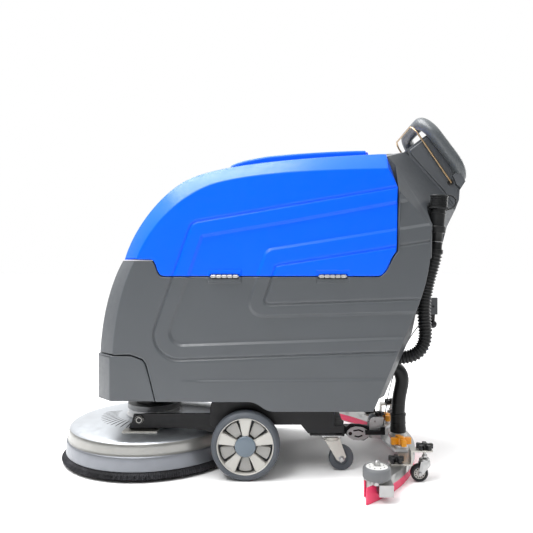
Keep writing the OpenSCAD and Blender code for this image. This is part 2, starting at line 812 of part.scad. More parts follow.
module suction_port() {
    color("#c9cbcc") translate([453, 0, 0]) difference() {
        union() {
            translate([0, 0, 45]) cylinder(r = 20, h = 21);
            translate([0, 0, 49.8]) cylinder(r = 30, h = 5);
        }
        translate([0, 0, 20]) cylinder(r = 17, h = 60);
    }
}

module roller(s) {
    color("#55585c") translate([roller_pos[0], s * roller_pos[1], 58]) difference() {
        union() {
            translate([0, 0, 3]) cylinder(d = roller_d, h = 27);
            cylinder(d = roller_d - 6, h = 33);
        }
        translate([0, 0, -1]) cylinder(r = 6.06, h = 60);
    }
}

module small_fork(s) {
    x = small_caster_pos[0];
    y = s * small_caster_pos[1];
    axle = x - small_trail;
    color("#c6c8c8") {
        translate([x, y, 62]) cylinder(r = 4, h = 30.5);
        translate([x, y, 57]) cylinder(r = 15, h = 5.5);
        translate([x, y, 70]) cylinder(r = 8, h = 6, $fn = 6);
        for (k = [-1, 1]) {
            slab(y + k * 12.5 - 1, y + k * 12.5 + 1)
                polygon([[x - 13, 60], [x + 13, 60], [x + 14, 50], [axle + 8, 22], [axle - 6, 20]]);
        }
        bar_y(axle, small_caster_d / 2, 3, y - 15, y + 15);
    }
}

module small_wheel(s) {
    color("#1c1c1e") plain_wheel(small_caster_pos[0] - small_trail, s * small_caster_pos[1], small_caster_d, 20, 3.06);
}

module height_knob(s) {
    color("#161618") translate([small_caster_pos[0], s * small_caster_pos[1], 93.4])
        star_knob(11, 6, 19, 5, 17);
}

// Orange four-lobed screw that clamps the squeegee to its bracket
module wing_knob(s) {
    color("#f39a14") translate([wing_pos[0], s * wing_pos[1], 66.4]) {
        star_knob(15, 9, 26, 4, 24);
        translate([0, 0, -20]) cylinder(r = 5, h = 21);
    }
}

// Knob that sets the squeegee's tilt
module pitch_knob() {
    color("#151517") translate([pitch_x, 0, 118.5]) {
        star_knob(9, 5, 12, 5, 14);
        translate([0, 0, -14]) cylinder(r = 4, h = 15);
    }
}

module on_panel(x, y, z) {
    translate([panel_centre[0], 0, panel_centre[1]]) rotate([0, panel_tilt, 0]) translate([x, y, z]) children();
}

module key_switch() {
    color("#b8babd") on_panel(30, -60, -14) {
        cylinder(r = 9, h = 17);
        translate([-2, -11, 17]) cube([4, 22, 22]);
    }
}

module push_button(y) {
    on_panel(30, y, -12) cylinder(r = 8, h = 16);
}

module brush_button() {
    color("#2e9e4a") push_button(10);
}

module vacuum_button() {
    color("#2a6fd0") push_button(50);
}

// Wire bail under the loop handle
module trigger_bail() {
    y = 138;
    r = 3;
    corner = 36;
    top = [470, 1056];
    run = [top[0] - bail_pivot[0], top[1] - bail_pivot[1]];
    len = norm(run);
    stub_y = console_half_w - 6;
    color("#c9a77c") translate([bail_pivot[0], 0, bail_pivot[1]])
        rotate([0, atan2(-run[1], run[0]), 0]) {
            for (s = [-1, 1]) {
                translate([0, s * y, 0]) rotate([0, 90, 0]) cylinder(r = r, h = len - corner);
                translate([len - corner, s * (y - corner), 0]) rotate([0, 0, s > 0 ? 0 : -90])
                    rotate_extrude(angle = 90, $fn = 48) translate([corner, 0]) circle(r = r, $fn = 24);
                bar_y(0, 0, r, min(s * y, s * stub_y), max(s * y, s * stub_y));
            }
            translate([len, y - corner, 0]) rotate([90, 0, 0]) cylinder(r = r, h = 2 * (y - corner));
        }
}

// Lever with a ball knob that pulls the lift cable
module lift_lever() {
    color("#8b8f93") {
        difference() {
            slab(-65.6, -61.6) polygon([[540, 494], [556, 500], [562, 490], [559, 440], [547, 440], [542, 470], [534, 470]]);
            bar_y(lever_pivot[0], lever_pivot[2], 3, -70, -50);
        }
        bar_y(lever_pivot[0], lever_pivot[2], 4, -75.5, -57);
    }
    color("#141416") translate([553, -63.6, 430]) sphere(r = 13);
}

chassis();
solution_tank();
front_cover();
rear_cover();
console_housing();
control_panel();
handle_loop();
batteries();
wheel_axle();
water_valve();
vacuum_motor();
control_board();
charger_socket();
lower_hinges();
drain_hose();
suction_hose();
lift_cable();
caster_plates();
filler_cap();
drain_cap();
recovery_tank();
upper_hinges();
float_shutoff();
filter_cover();
tank_lid();
lift_arms();
deck_cover();
brush_motor();
motor_can();
deck_skirt();
deck_brackets();
brush_disc();
brush_bristles();
color("#d9d7d2") on_axle(-1) wheel_rim();  // wheel_rim_left
color("#d9d7d2") on_axle(1) wheel_rim();  // wheel_rim_right
color("#5b6068") on_axle(-1) wheel_tyre();  // wheel_tyre_left
color("#5b6068") on_axle(1) wheel_tyre();  // wheel_tyre_right
caster_fork(-caster_y);  // caster_fork_left
caster_fork(caster_y);  // caster_fork_right
caster_wheel(-caster_y);  // caster_wheel_left
caster_wheel(caster_y);  // caster_wheel_right
squeegee_arm();
squeegee_bracket();
squeegee_body();
caster_brackets();
squeegee_blades();
suction_port();
roller(-1);  // roller_left
roller(1);  // roller_right
small_fork(-1);  // small_fork_left
small_fork(1);  // small_fork_right
small_wheel(-1);  // small_wheel_left
small_wheel(1);  // small_wheel_right
height_knob(-1);  // height_knob_left
height_knob(1);  // height_knob_right
wing_knob(-1);  // wing_knob_left
wing_knob(1);  // wing_knob_right
pitch_knob();
key_switch();
brush_button();
vacuum_button();
trigger_bail();
lift_lever();
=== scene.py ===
"""Looks of a walk-behind floor scrubber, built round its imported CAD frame.

Lengths inside the functions are millimetres in the row's frame: X to the rear, Z up, and the
operator's left at -Y. Meshes are scaled to metres when they are made.
"""

import json
import math
import random

import bmesh
import bpy
import numpy as np
from mathutils import Matrix, Vector


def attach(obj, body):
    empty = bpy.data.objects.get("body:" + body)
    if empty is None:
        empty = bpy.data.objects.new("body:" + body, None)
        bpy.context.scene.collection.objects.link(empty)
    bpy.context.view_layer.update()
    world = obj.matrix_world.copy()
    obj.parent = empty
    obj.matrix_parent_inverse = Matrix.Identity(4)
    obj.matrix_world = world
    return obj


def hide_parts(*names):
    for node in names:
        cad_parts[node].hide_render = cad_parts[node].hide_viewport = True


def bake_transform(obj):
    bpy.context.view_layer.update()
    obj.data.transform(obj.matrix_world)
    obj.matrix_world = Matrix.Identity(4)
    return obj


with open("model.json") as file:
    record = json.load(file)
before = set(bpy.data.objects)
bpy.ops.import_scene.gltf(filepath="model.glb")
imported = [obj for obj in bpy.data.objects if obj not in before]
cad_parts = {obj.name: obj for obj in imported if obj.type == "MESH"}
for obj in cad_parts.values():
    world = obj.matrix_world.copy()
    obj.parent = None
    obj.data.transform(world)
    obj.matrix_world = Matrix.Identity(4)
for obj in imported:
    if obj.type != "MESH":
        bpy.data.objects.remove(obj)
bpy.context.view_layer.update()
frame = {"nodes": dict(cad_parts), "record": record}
NODES = frame["nodes"]
MM = 0.001
SIDES = (("left", -1), ("right", 1))
MAT = {}
random.seed(7)


# ---------------------------------------------------------------- camera, floor and light
def make_camera():
    """Level camera at the operator's left, its shift set by the photograph's framing."""
    data = bpy.data.cameras.new("camera")
    data.sensor_width = 36.0
    data.lens = 38.32
    data.shift_x = -0.0411
    data.shift_y = -0.005
    data.clip_end = 200.0
    camera = bpy.data.objects.new("camera", data)
    camera.location = (0.086, -1.900, 0.6252)
    camera.rotation_euler = (math.radians(90), 0, 0)
    bpy.context.scene.collection.objects.link(camera)
    bpy.context.scene.camera = camera


def area_light(name, place, target, size, watts):
    data = bpy.data.lights.new(name, "AREA")
    data.shape = "RECTANGLE"
    data.size, data.size_y = size
    data.energy = watts
    light = bpy.data.objects.new(name, data)
    light.location = place
    aim = Vector(target) - Vector(place)
    light.rotation_euler = aim.to_track_quat("-Z", "Y").to_euler()
    bpy.context.scene.collection.objects.link(light)


def make_studio():
    """Pale floor and plain white backdrop, brighter behind and above, with three softboxes."""
    world = bpy.data.worlds.new("studio")
    world.use_nodes = True
    tree = world.node_tree
    background = tree.nodes["Background"]
    place = tree.nodes.new("ShaderNodeTexCoord")
    parts = tree.nodes.new("ShaderNodeSeparateXYZ")
    link(tree, place.outputs["Generated"], parts.inputs["Vector"])
    back = ranged(tree, parts.outputs["Y"], -0.35, 0.45, 0.15, 1.0)
    top = ranged(tree, parts.outputs["Z"], 0.35, 0.75, 0.0, 1.5)
    greater = tree.nodes.new("ShaderNodeMath")
    greater.operation = "MAXIMUM"
    link(tree, back, greater.inputs[0])
    link(tree, top, greater.inputs[1])
    seen = tree.nodes.new("ShaderNodeLightPath")
    plain = tree.nodes.new("ShaderNodeMix")
    plain.inputs[3].default_value = 1.0
    link(tree, seen.outputs["Is Camera Ray"], plain.inputs[0])
    link(tree, greater.outputs["Value"], plain.inputs[2])
    link(tree, plain.outputs[0], background.inputs["Strength"])
    background.inputs["Color"].default_value = (1.0, 1.0, 1.0, 1)
    bpy.context.scene.world = world
    bpy.context.scene.view_settings.view_transform = "Standard"
    area_light("overhead", (-1.0, 0.1, 2.9), (0, 0, 0.5), (2.4, 2.0), 140)
    area_light("front_left", (-1.1, -1.7, 2.7), (0.0, -0.2, 0.45), (1.1, 0.9), 42)
    area_light("rear_right", (2.4, 1.8, 1.6), (0.2, 0, 0.5), (1.4, 1.4), 20)
    mesh = bpy.data.meshes.new("floor")
    reach = 30.0
    mesh.from_pydata([(-reach, -reach, 0), (reach, -reach, 0), (reach, reach, 0), (-reach, reach, 0)], [],
        [(0, 1, 2, 3)])
    floor = bpy.data.objects.new("floor", mesh)
    floor.location.z = -0.0005
    bpy.context.scene.collection.objects.link(floor)
    floor.data.materials.append(surface("floor_paint", (0.97, 0.97, 0.97), 0.8, spread=0.01))


# ---------------------------------------------------------------- materials
def link(tree, a, b):
    tree.links.new(a, b)


def mapped(tree, stretch):
    """Object coordinates, stretched so that a noise becomes streaks."""
    place = tree.nodes.new("ShaderNodeTexCoord")
    mapping = tree.nodes.new("ShaderNodeMapping")
    mapping.inputs["Scale"].default_value = stretch
    link(tree, place.outputs["Object"], mapping.inputs["Vector"])
    return mapping.outputs["Vector"]


def noise(tree, vector, scale, detail=2.0):
    node = tree.nodes.new("ShaderNodeTexNoise")
    node.inputs["Scale"].default_value = scale
    node.inputs["Detail"].default_value = detail
    link(tree, vector, node.inputs["Vector"])
    return node.outputs["Fac"]


def ranged(tree, value, low, high, out_low, out_high):
    node = tree.nodes.new("ShaderNodeMapRange")
    for name, number in (("From Min", low), ("From Max", high), ("To Min", out_low), ("To Max", out_high)):
        node.inputs[name].default_value = number
    link(tree, value, node.inputs["Value"])
    return node.outputs["Result"]


def tinted(tree, factor, first, second):
    node = tree.nodes.new("ShaderNodeMix")
    node.data_type = "RGBA"
    for socket, colour in ((6, first), (7, second)):
        if isinstance(colour, tuple):
            node.inputs[socket].default_value = (*colour, 1)
        else:
            link(tree, colour, node.inputs[socket])
    link(tree, factor, node.inputs[0])
    return node.outputs[2]


def radius_about(tree, x, y):
    """Distance from the upright line through (x, y), in metres."""
    place = tree.nodes.new("ShaderNodeTexCoord")
    move = tree.nodes.new("ShaderNodeVectorMath")
    move.operation = "SUBTRACT"
    move.inputs[1].default_value = (x, y, 0)
    link(tree, place.outputs["Object"], move.inputs[0])
    flat = tree.nodes.new("ShaderNodeVectorMath")
    flat.operation = "MULTIPLY"
    flat.inputs[1].default_value = (1, 1, 0)
    link(tree, move.outputs["Vector"], flat.inputs[0])
    length = tree.nodes.new("ShaderNodeVectorMath")
    length.operation = "LENGTH"
    link(tree, flat.outputs["Vector"], length.inputs[0])
    combine = tree.nodes.new("ShaderNodeCombineXYZ")
    link(tree, length.outputs["Value"], combine.inputs["X"])
    return combine.outputs["Vector"]


def surface(name, colour, roughness, metallic=0.0, spread=0.08, grain=(900.0, 0.15), stretch=(1, 1, 1),
        wear_and_edge_highlight=0.0, coat=0.0, specular=0.5, spun=None, subsurface=0.0, streak=0.35):
    """Files a material with a clouded colour, uneven roughness, fine relief and paler edges, partly wear and
    partly a painted edge highlight.
    """
    mat = bpy.data.materials.new(name)
    mat.use_nodes = True
    tree = mat.node_tree
    bsdf = tree.nodes["Principled BSDF"]
    bsdf.inputs["Metallic"].default_value = metallic
    bsdf.inputs["Coat Weight"].default_value = coat
    bsdf.inputs["Coat Roughness"].default_value = 0.12
    bsdf.inputs["Specular IOR Level"].default_value = specular
    if subsurface:
        bsdf.inputs["Subsurface Weight"].default_value = subsurface
        bsdf.inputs["Subsurface Radius"].default_value = (0.012, 0.004, 0.004)
        bsdf.inputs["Subsurface Scale"].default_value = 0.5
    vector = mapped(tree, stretch) if spun is None else radius_about(tree, *spun)
    cloud = noise(tree, mapped(tree, (1, 1, 1)), 7.0, 4.0)
    dark = tuple(c * (1 - spread) for c in colour)
    light = tuple(min(1.0, c * (1 + spread) + spread * 0.01) for c in colour)
    shade = tinted(tree, ranged(tree, cloud, 0.3, 0.7, 0, 1), dark, light)
    fine = noise(tree, vector, grain[0], 3.0)
    shade = tinted(tree, ranged(tree, fine, 0.25, 0.75, 0, streak), shade, dark)
    # Paler convex edges: partly wear, partly a painted highlight standing in for light caught on rounded edges.
    if wear_and_edge_highlight:
        shape = tree.nodes.new("ShaderNodeNewGeometry")
        edge = ranged(tree, shape.outputs["Pointiness"], 0.515, 0.60, 0, wear_and_edge_highlight)
        worn_and_highlit = tuple(min(1.0, c * 1.5 + 0.05) for c in colour)
        shade = tinted(tree, edge, shade, worn_and_highlit)
    link(tree, shade, bsdf.inputs["Base Color"])
    patch = noise(tree, mapped(tree, stretch), 55.0, 3.0)
    link(tree, ranged(tree, patch, 0.3, 0.7, max(0.02, roughness - 0.06), min(1.0, roughness + 0.06)),
        bsdf.inputs["Roughness"])
    bump = tree.nodes.new("ShaderNodeBump")
    bump.inputs["Strength"].default_value = grain[1]
    bump.inputs["Distance"].default_value = 0.0004
    link(tree, fine, bump.inputs["Height"])
    link(tree, bump.outputs["Normal"], bsdf.inputs["Normal"])
    MAT[name] = mat
    return mat


def make_materials():
    """Every material of the machine."""
    surface("blue_shell", (0.0, 0.098, 0.80), 0.34, spread=0.02, grain=(1400.0, 0.08), wear_and_edge_highlight=0.06,
        specular=0.20)
    surface("grey_shell", (0.061, 0.067, 0.074), 0.38, spread=0.04, grain=(1300.0, 0.20), wear_and_edge_highlight=0.3)
    surface("dark_plastic", (0.045, 0.048, 0.053), 0.50, grain=(1300.0, 0.22), wear_and_edge_highlight=0.3)
    surface("console_plastic", (0.056, 0.061, 0.068), 0.42, grain=(1300.0, 0.20), wear_and_edge_highlight=0.35)
    surface("handle_plastic", (0.072, 0.080, 0.086), 0.38, grain=(1600.0, 0.18), wear_and_edge_highlight=0.2)
    surface("frame_black", (0.007, 0.007, 0.008), 0.40, spread=0.15, grain=(700.0, 0.28), wear_and_edge_highlight=0.08,
        specular=0.22)
    surface("spun_aluminium", (0.54, 0.565, 0.595), 0.36, metallic=0.88, spread=0.03, grain=(620.0, 0.10),
        spun=(-0.361, 0.0))
    surface("cast_aluminium", (0.33, 0.33, 0.325), 0.40, metallic=1.0, spread=0.10, grain=(420.0, 0.45),
        wear_and_edge_highlight=0.3)
    # Darker copies of the spun aluminium for the deck's side and band: painted shade, the side darker and the
    # band darker still.
    surface("side_aluminium_painted_shade", (0.29, 0.288, 0.275), 0.38, metallic=0.8, spread=0.05, grain=(620.0, 0.10),
        spun=(-0.361, 0.0))
    surface("band_aluminium_painted_shade", (0.20, 0.21, 0.23), 0.40, metallic=0.75, spread=0.05, grain=(620.0, 0.10),
        spun=(-0.361, 0.0))
    surface("steel", (0.34, 0.34, 0.34), 0.33, metallic=1.0, spread=0.14, grain=(260.0, 0.22),
        stretch=(1, 1, 5), wear_and_edge_highlight=0.3)
    surface("caster_steel", (0.40, 0.39, 0.36), 0.38, metallic=0.85, spread=0.12, grain=(300.0, 0.25),
        wear_and_edge_highlight=0.3)
    surface("grey_metal", (0.20, 0.205, 0.21), 0.42, metallic=0.35, spread=0.08, grain=(500.0, 0.30),
        wear_and_edge_highlight=0.35)
    surface("tyre_rubber", (0.058, 0.066, 0.078), 0.58, grain=(800.0, 0.30), wear_and_edge_highlight=0.15)
    surface("rim_plastic", (0.44, 0.43, 0.40), 0.45, spread=0.05, grain=(900.0, 0.18), wear_and_edge_highlight=0.2)
    # Darker copy of the rim plastic for the recessed wedges: painted shade.
    surface("rim_plastic_painted_shade", (0.30, 0.295, 0.28), 0.5, spread=0.10, grain=(900.0, 0.2), wear_and_edge_highlight=0.3)
    surface("rim_dark", (0.052, 0.060, 0.070), 0.5, spread=0.10, grain=(900.0, 0.2))
    surface("hub_cap", (0.115, 0.148, 0.180), 0.33, spread=0.05, grain=(900.0, 0.1), wear_and_edge_highlight=0.2)
    surface("black_rubber", (0.009, 0.009, 0.010), 0.50, spread=0.2, grain=(900.0, 0.25), wear_and_edge_highlight=0.1,
        specular=0.25)
    surface("blade_rubber", (0.78, 0.045, 0.135), 0.42, spread=0.10, grain=(500.0, 0.25), subsurface=0.25)
    surface("orange_plastic", (0.90, 0.34, 0.006), 0.34, spread=0.06, grain=(900.0, 0.1), wear_and_edge_highlight=0.25)
    surface("black_plastic", (0.008, 0.008, 0.009), 0.36, spread=0.15, grain=(900.0, 0.2), wear_and_edge_highlight=0.15,
        specular=0.3)
    surface("hose_black", (0.007, 0.0075, 0.008), 0.38, spread=0.2, grain=(700.0, 0.2), wear_and_edge_highlight=0.15,
        specular=0.28)
    surface("roller_grey", (0.115, 0.12, 0.125), 0.55, spread=0.06, grain=(800.0, 0.25), wear_and_edge_highlight=0.2)
    surface("plate_grey", (0.60, 0.605, 0.61), 0.34, metallic=0.3, spread=0.08, grain=(420.0, 0.25),
        wear_and_edge_highlight=0.35)
    surface("hinge_steel", (0.33, 0.32, 0.30), 0.36, metallic=0.6, spread=0.08, grain=(300.0, 0.15), wear_and_edge_highlight=0.3)
    surface("bristle", (0.030, 0.030, 0.035), 0.6, specular=0.15, spread=0.9, grain=(170.0, 0.9),
        stretch=(1, 1, 0.02), streak=1.0)
    surface("battery_case", (0.02, 0.02, 0.022), 0.5, grain=(600.0, 0.25), wear_and_edge_highlight=0.3)
    surface("wire_brass", (0.50, 0.35, 0.20), 0.30, metallic=0.9, spread=0.1, grain=(500.0, 0.15))
    surface("circuit_green", (0.02, 0.12, 0.045), 0.35, grain=(300.0, 0.3))
    surface("clear_white", (0.62, 0.62, 0.60), 0.35, spread=0.04, grain=(600.0, 0.15))
    surface("display_glass", (0.006, 0.010, 0.012), 0.12, spread=0.05, grain=(300.0, 0.02), coat=0.5)
    surface("display_grey", (0.16, 0.20, 0.19), 0.35, spread=0.05, grain=(500.0, 0.05))
    surface("button_green", (0.02, 0.32, 0.06), 0.3, spread=0.05, wear_and_edge_highlight=0.2)
    surface("button_blue", (0.01, 0.11, 0.55), 0.3, spread=0.05, wear_and_edge_highlight=0.2)


# ---------------------------------------------------------------- mesh building
def curve(a, b, c, d, n=24):
    """Points of a cubic curve."""
    t = np.linspace(0, 1, n + 1)[:, None]
    u = 1 - t
    a, b, c, d = (np.array(p, float) for p in (a, b, c, d))
    return u ** 3 * a + 3 * u * u * t * b + 3 * u * t * t * c + t ** 3 * d


def smooth_step(low, high, value):
    t = np.clip((value - low) / (high - low), 0, 1)
    return t * t * (3 - 2 * t)


def ramp(low, high, value):
    """Like smooth_step, but with an even slope between crisp ends."""
    t = np.clip((value - low) / (high - low), 0, 1)
    return 0.3 * t * t * (3 - 2 * t) + 0.7 * t


class Shape:
    """A mesh in millimetres, added to piece by piece."""

    def __init__(self, bm=None):
        self.bm = bm or bmesh.new()

    def add(self, points, faces):
        verts = [self.bm.verts.new(p) for p in points]
        for face in faces:
            corners = [verts[i] for i in dict.fromkeys(face)]
            if len(corners) > 2:
                self.bm.faces.new(corners)
        return self

    def lathe(self, profile, origin=(0, 0, 0), axis=(0, 0, 1), n=64):
        """Turned solid: profile holds (radius, height) pairs along axis from origin."""
        turn = Vector((0, 0, 1)).rotation_difference(Vector(axis)).to_matrix()
        points, rows = [], []
        for r, h in profile:
            count = n if r else 1
            rows.append([len(points) + (k if r else 0) for k in range(n)])
            for k in range(count):
                a = math.radians(360.0 * k / n)
                points.append(turn @ Vector((r * math.cos(a), r * math.sin(a), h)) + Vector(origin))
        faces = []
        for i, one in enumerate(rows):
            two = rows[(i + 1) % len(rows)]
            faces += [(one[k], one[(k + 1) % n], two[(k + 1) % n], two[k]) for k in range(n)]
        return self.add(points, faces)

    def disc(self, radius, height, origin, axis=(0, 0, 1), n=16):
        """Plain round pin, washer or, with few sides, nut."""
        return self.lathe([(0, 0), (radius, 0), (radius, height), (0, height)], origin, axis, n)

    def head(self, radius, edge, top, height, origin, axis, n=6):
        """Bolt head or nut with a chamfer from (radius, edge) to (top, height)."""
        return self.lathe([(0, 0), (radius, 0), (radius, edge), (top, height), (0, height)], origin, axis, n)

    def prism(self, outline, low, high, axis="Y"):
        """Outline pulled from low to high along Y (outline in XZ) or Z (in XY)."""
        n = len(outline)
        points = [(u, w, v) if axis == "Y" else (u, v, w) for w in (low, high) for u, v in outline]
        faces = [(i, (i + 1) % n, n + (i + 1) % n, n + i) for i in range(n)]
        return self.add(points, faces + [tuple(range(n)), tuple(range(2 * n - 1, n - 1, -1))])

    def box(self, low, high):
        return self.prism([(low[0], low[1]), (high[0], low[1]), (high[0], high[1]), (low[0], high[1])],
            low[2], high[2], "Z")

    def tube(self, path, radius, n=24):
        """Round tube along path; radius is a number or one per point."""
        path = [Vector(p) for p in path]
        count = len(path)
        radii = [float(r) for r in radius] if hasattr(radius, "__len__") else [radius] * count
        points, faces = [], []
        side = None
        for i, p in enumerate(path):
            along = (path[min(i + 1, count - 1)] - path[max(i - 1, 0)]).normalized()
            side = along.orthogonal().normalized() if side is None else side
            side = (side - along * side.dot(along)).normalized()
            other = along.cross(side)
            for k in range(n):
                a = 2 * math.pi * k / n
                points.append(p + radii[i] * (math.cos(a) * side + math.sin(a) * other))
        for i in range(0, (count - 1) * n, n):
            faces += [(i + k, i + (k + 1) % n, i + n + (k + 1) % n, i + n + k) for k in range(n)]
        faces += [tuple(range(n)), tuple(range(count * n - 1, (count - 1) * n - 1, -1))]
        return self.add(points, faces)

    def merge(self, other):
        """Takes in another shape's mesh."""
        mesh = bpy.data.meshes.new("spare")
        other.bm.to_mesh(mesh)
        other.bm.free()
        self.bm.from_mesh(mesh)
        bpy.data.meshes.remove(mesh)

    def placed(self, matrix):
        self.bm.transform(matrix)
        return self

    def piece(self, name, material, body, nodes=(), slot=None, bevel=0.0, angle=32, fix=True, segments=2):
        """Makes the object, in metres, riding on body and standing for nodes."""
        if fix:
            bmesh.ops.remove_doubles(self.bm, verts=self.bm.verts, dist=1e-4)
            bmesh.ops.recalc_face_normals(self.bm, faces=self.bm.faces)
        self.bm.transform(Matrix.Scale(MM, 4))
        mesh = bpy.data.meshes.new(name)
        self.bm.to_mesh(mesh)
        self.bm.free()
        obj = bpy.data.objects.new(name, mesh)
        bpy.context.scene.collection.objects.link(obj)
        mesh.materials.append(MAT[material])
        mesh.polygons.foreach_set("use_smooth", [True] * len(mesh.polygons))
        if bevel:
            round_edges(obj, bevel, angle, segments)
        else:
            mesh.set_sharp_from_angle(angle=math.radians(angle))
        if body:
            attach(obj, body)
        if nodes:
            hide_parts(*nodes)
        return obj


def round_edges(obj, width, angle=32, segments=2):
    """Bevels edges sharper than angle, then weights the normals to the flat faces."""
    bevel = obj.modifiers.new("rounding", "BEVEL")
    bevel.width = width * MM
    bevel.segments = segments
    bevel.limit_method = "ANGLE"
    bevel.angle_limit = math.radians(angle)
    bevel.miter_outer = "MITER_ARC"
    normals = obj.modifiers.new("normals", "WEIGHTED_NORMAL")
    normals.keep_sharp = True


def soften(node, material, width):
    """Keeps a CAD node, with its flat faces merged, its edges rounded and a real material."""
    obj = NODES[node]
    obj.data.materials.clear()
    obj.data.materials.append(MAT[material])
    obj.data.polygons.foreach_set("use_smooth", [True] * len(obj.data.polygons))
    if "custom_normal" in obj.data.attributes:
        obj.data.attributes.remove(obj.data.attributes["custom_normal"])
    weld = obj.modifiers.new("weld", "WELD")
    weld.merge_threshold = 0.00001
    flat = obj.modifiers.new("flat", "DECIMATE")
    flat.decimate_type = "DISSOLVE"
    flat.angle_limit = math.radians(0.6)
    round_edges(obj, width, 30)


# ---------------------------------------------------------------- moulded shells
PANEL_HALF = 271.6
POCKET_DEPTH = 5.8
GROOVE_DEPTH, GROOVE_WIDTH = 3.9, 3.3
EDGE_ROUND = 3.0
EDGE_DEPTH = 12.0
GRID_STEP = 5.0
FRONT_SPANS = 6
HINGE_BOSS = (49, 569, 608)
HINGE_SLOT = (41, 582.5, 595.5)
BEVEL_HALF = 215.5
TANK_FRONT_OUTER = curve([-405, 634], [-440, 572], [-466, 480], [-473, 363])
TANK_FRONT_PANEL = curve([-355, 634], [-388, 572], [-412, 480], [-419, 363])
TANK_REAR = np.vstack([[[330, 201], [450, 480]], curve([450, 480], [476, 542], [497, 610], [497, 700])[1:]])
LID_OUTER = np.vstack([curve([-400, 638], [-375, 728], [-287, 850], [-190, 884]), curve([-190, 884],
    [-110, 914], [40, 936], [358, 951])[1:]])
LID_PANEL = np.vstack([curve([-350, 638], [-328, 704], [-258, 806], [-140, 852]), curve([-140, 852],
    [-60, 880], [120, 896], [374, 899])[1:]])
SEAM_FRONT = curve([-312, 637.5], [-288, 637.5], [-298, 590.5], [-272, 590.5], 16)
SEAM_REAR = curve([345, 590.5], [368, 592], [378, 645], [398, 662], 16)
COVER_SEAM = [[-371, 361], [-335, 348], [-326, 336], [-313, 290], [-298, 229]]
# Moulded contours of the side panels, open to the rear, with a corner radius for each point
FAR = 760
CONTOURS = {"groove_outer": ([(FAR, 908), (90.6, 794), (-192, 745), (-333, 345), (FAR, 384)],
    (0, 0, 30, 74, 0)), "pocket": ([(FAR, 872), (90.6, 752), (-166, 709), (-278, 384), (FAR, 419)],
    (0, 0, 12, 42, 0)), "island": ([(FAR, 777), (70, 668), (26, 661), (-37, 477), (FAR, 497)],
    (0, 0, 26, 36, 0)), "groove_inner": ([(FAR, 732), (60, 622), (50, 619), (12, 507), (FAR, 533)],
    (0, 0, 4, 14, 0)),}


def rounded(points, radii, n=10):
    """Closed outline with its corners turned into arcs."""
    points = [np.array(p, float) for p in points]
    out = []
    for i, p in enumerate(points):
        if not radii[i]:
            out.append(p)
            continue
        a = points[i - 1] - p
        b = points[(i + 1) % len(points)] - p
        a, b = a / np.linalg.norm(a), b / np.linalg.norm(b)
        half = math.acos(np.clip(a @ b, -1, 1)) / 2
        reach = radii[i] / math.tan(half)
        middle = p + (a + b) / np.linalg.norm(a + b) * radii[i] / math.sin(half)
        one, two = p + a * reach - middle, p + b * reach - middle
        turn = math.atan2(one[0] * two[1] - one[1] * two[0], one @ two)
        for k in range(n + 1):
            t = turn * k / n
            out.append(middle + np.array([one[0] * math.cos(t) - one[1] * math.sin(t),
                one[0] * math.sin(t) + one[1] * math.cos(t)]))
    return np.array(out)


def signed_distance(x, z, outline):
    """Distance to a closed outline, negative inside it."""
    best = np.full(x.shape, 1e9)
    inside = np.zeros(x.shape, bool)
    for i in range(len(outline)):
        (ax, az), (bx, bz) = outline[i - 1], outline[i]
        dx, dz = bx - ax, bz - az
        t = np.clip(((x - ax) * dx + (z - az) * dz) / max(dx * dx + dz * dz, 1e-9), 0, 1)
        best = np.minimum(best, np.hypot(x - ax - t * dx, z - az - t * dz))
        if abs(dz) > 1e-9:
            inside ^= ((az > z) != (bz > z)) & (x < ax + (z - az) * dx / dz)
    return np.where(inside, -best, best)


OUTLINES = {name: rounded(*spec) for name, spec in CONTOURS.items()}
HINGE_X = (-98.0, 214.0)


def hinge_distance(x, z, half_x, low, high):
    """Distance to the boss round the nearer hinge, negative inside."""
    best = np.full(x.shape, 1e9)
    for centre in HINGE_X:
        dx = np.abs(x - centre) - half_x
        dz = np.maximum(low - z, z - high)
        best = np.minimum(best, np.maximum(dx, dz))
    return best


def side_relief(x, z):
    """Height of the moulded side above its plain face."""
    d = {name: signed_distance(x, z, outline) for name, outline in OUTLINES.items()}
    pocket = ramp(-9, 0, d["pocket"])
    island = ramp(0, 9, d["island"])
    height = -POCKET_DEPTH * (1 - pocket) * island
    for name in ("groove_outer", "groove_inner"):
        height -= GROOVE_DEPTH * np.exp(-(d[name] / GROOVE_WIDTH) ** 2)
    ridge = 290.3 + (x + 200) * 0.0065
    height += 3.0 * ramp(2, -4, z - ridge) * smooth_step(-235, -150, x)
    boss = ramp(0, -2.8, hinge_distance(x, z, *HINGE_BOSS))
    flat = -POCKET_DEPTH + 4.0
    height = height * (1 - boss) + flat * boss
    slot = smooth_step(0.4, -0.4, hinge_distance(x, z, *HINGE_SLOT))
    return height * (1 - slot) - 5.9 * slot


def relief_detail(x, z):
    """How near a point is to a moulded line: coarse distance for fine meshing."""
    near = np.minimum(np.abs(signed_distance(x, z, OUTLINES["pocket"]) + 4.5),
        np.abs(signed_distance(x, z, OUTLINES["island"]) - 4.5)) - 2
    for name in ("groove_outer", "groove_inner"):
        near = np.minimum(near, np.abs(signed_distance(x, z, OUTLINES[name])))
    near = np.minimum(near, np.abs(hinge_distance(x, z, *HINGE_BOSS) + 2))
    near = np.minimum(near, np.abs(hinge_distance(x, z, *HINGE_SLOT)))
    return np.minimum(near, np.abs(z - 291))


def along(points):
    """Outline with long straight stretches split, so that it follows the grid."""
    out = []
    for a, b in zip(points[:-1], points[1:]):
        n = max(1, int(np.linalg.norm(np.subtract(b, a)) // 12))
        out += [np.array(a) + (np.array(b) - a) * k / n for k in range(n)]
    return np.array(out + [points[-1]], float)


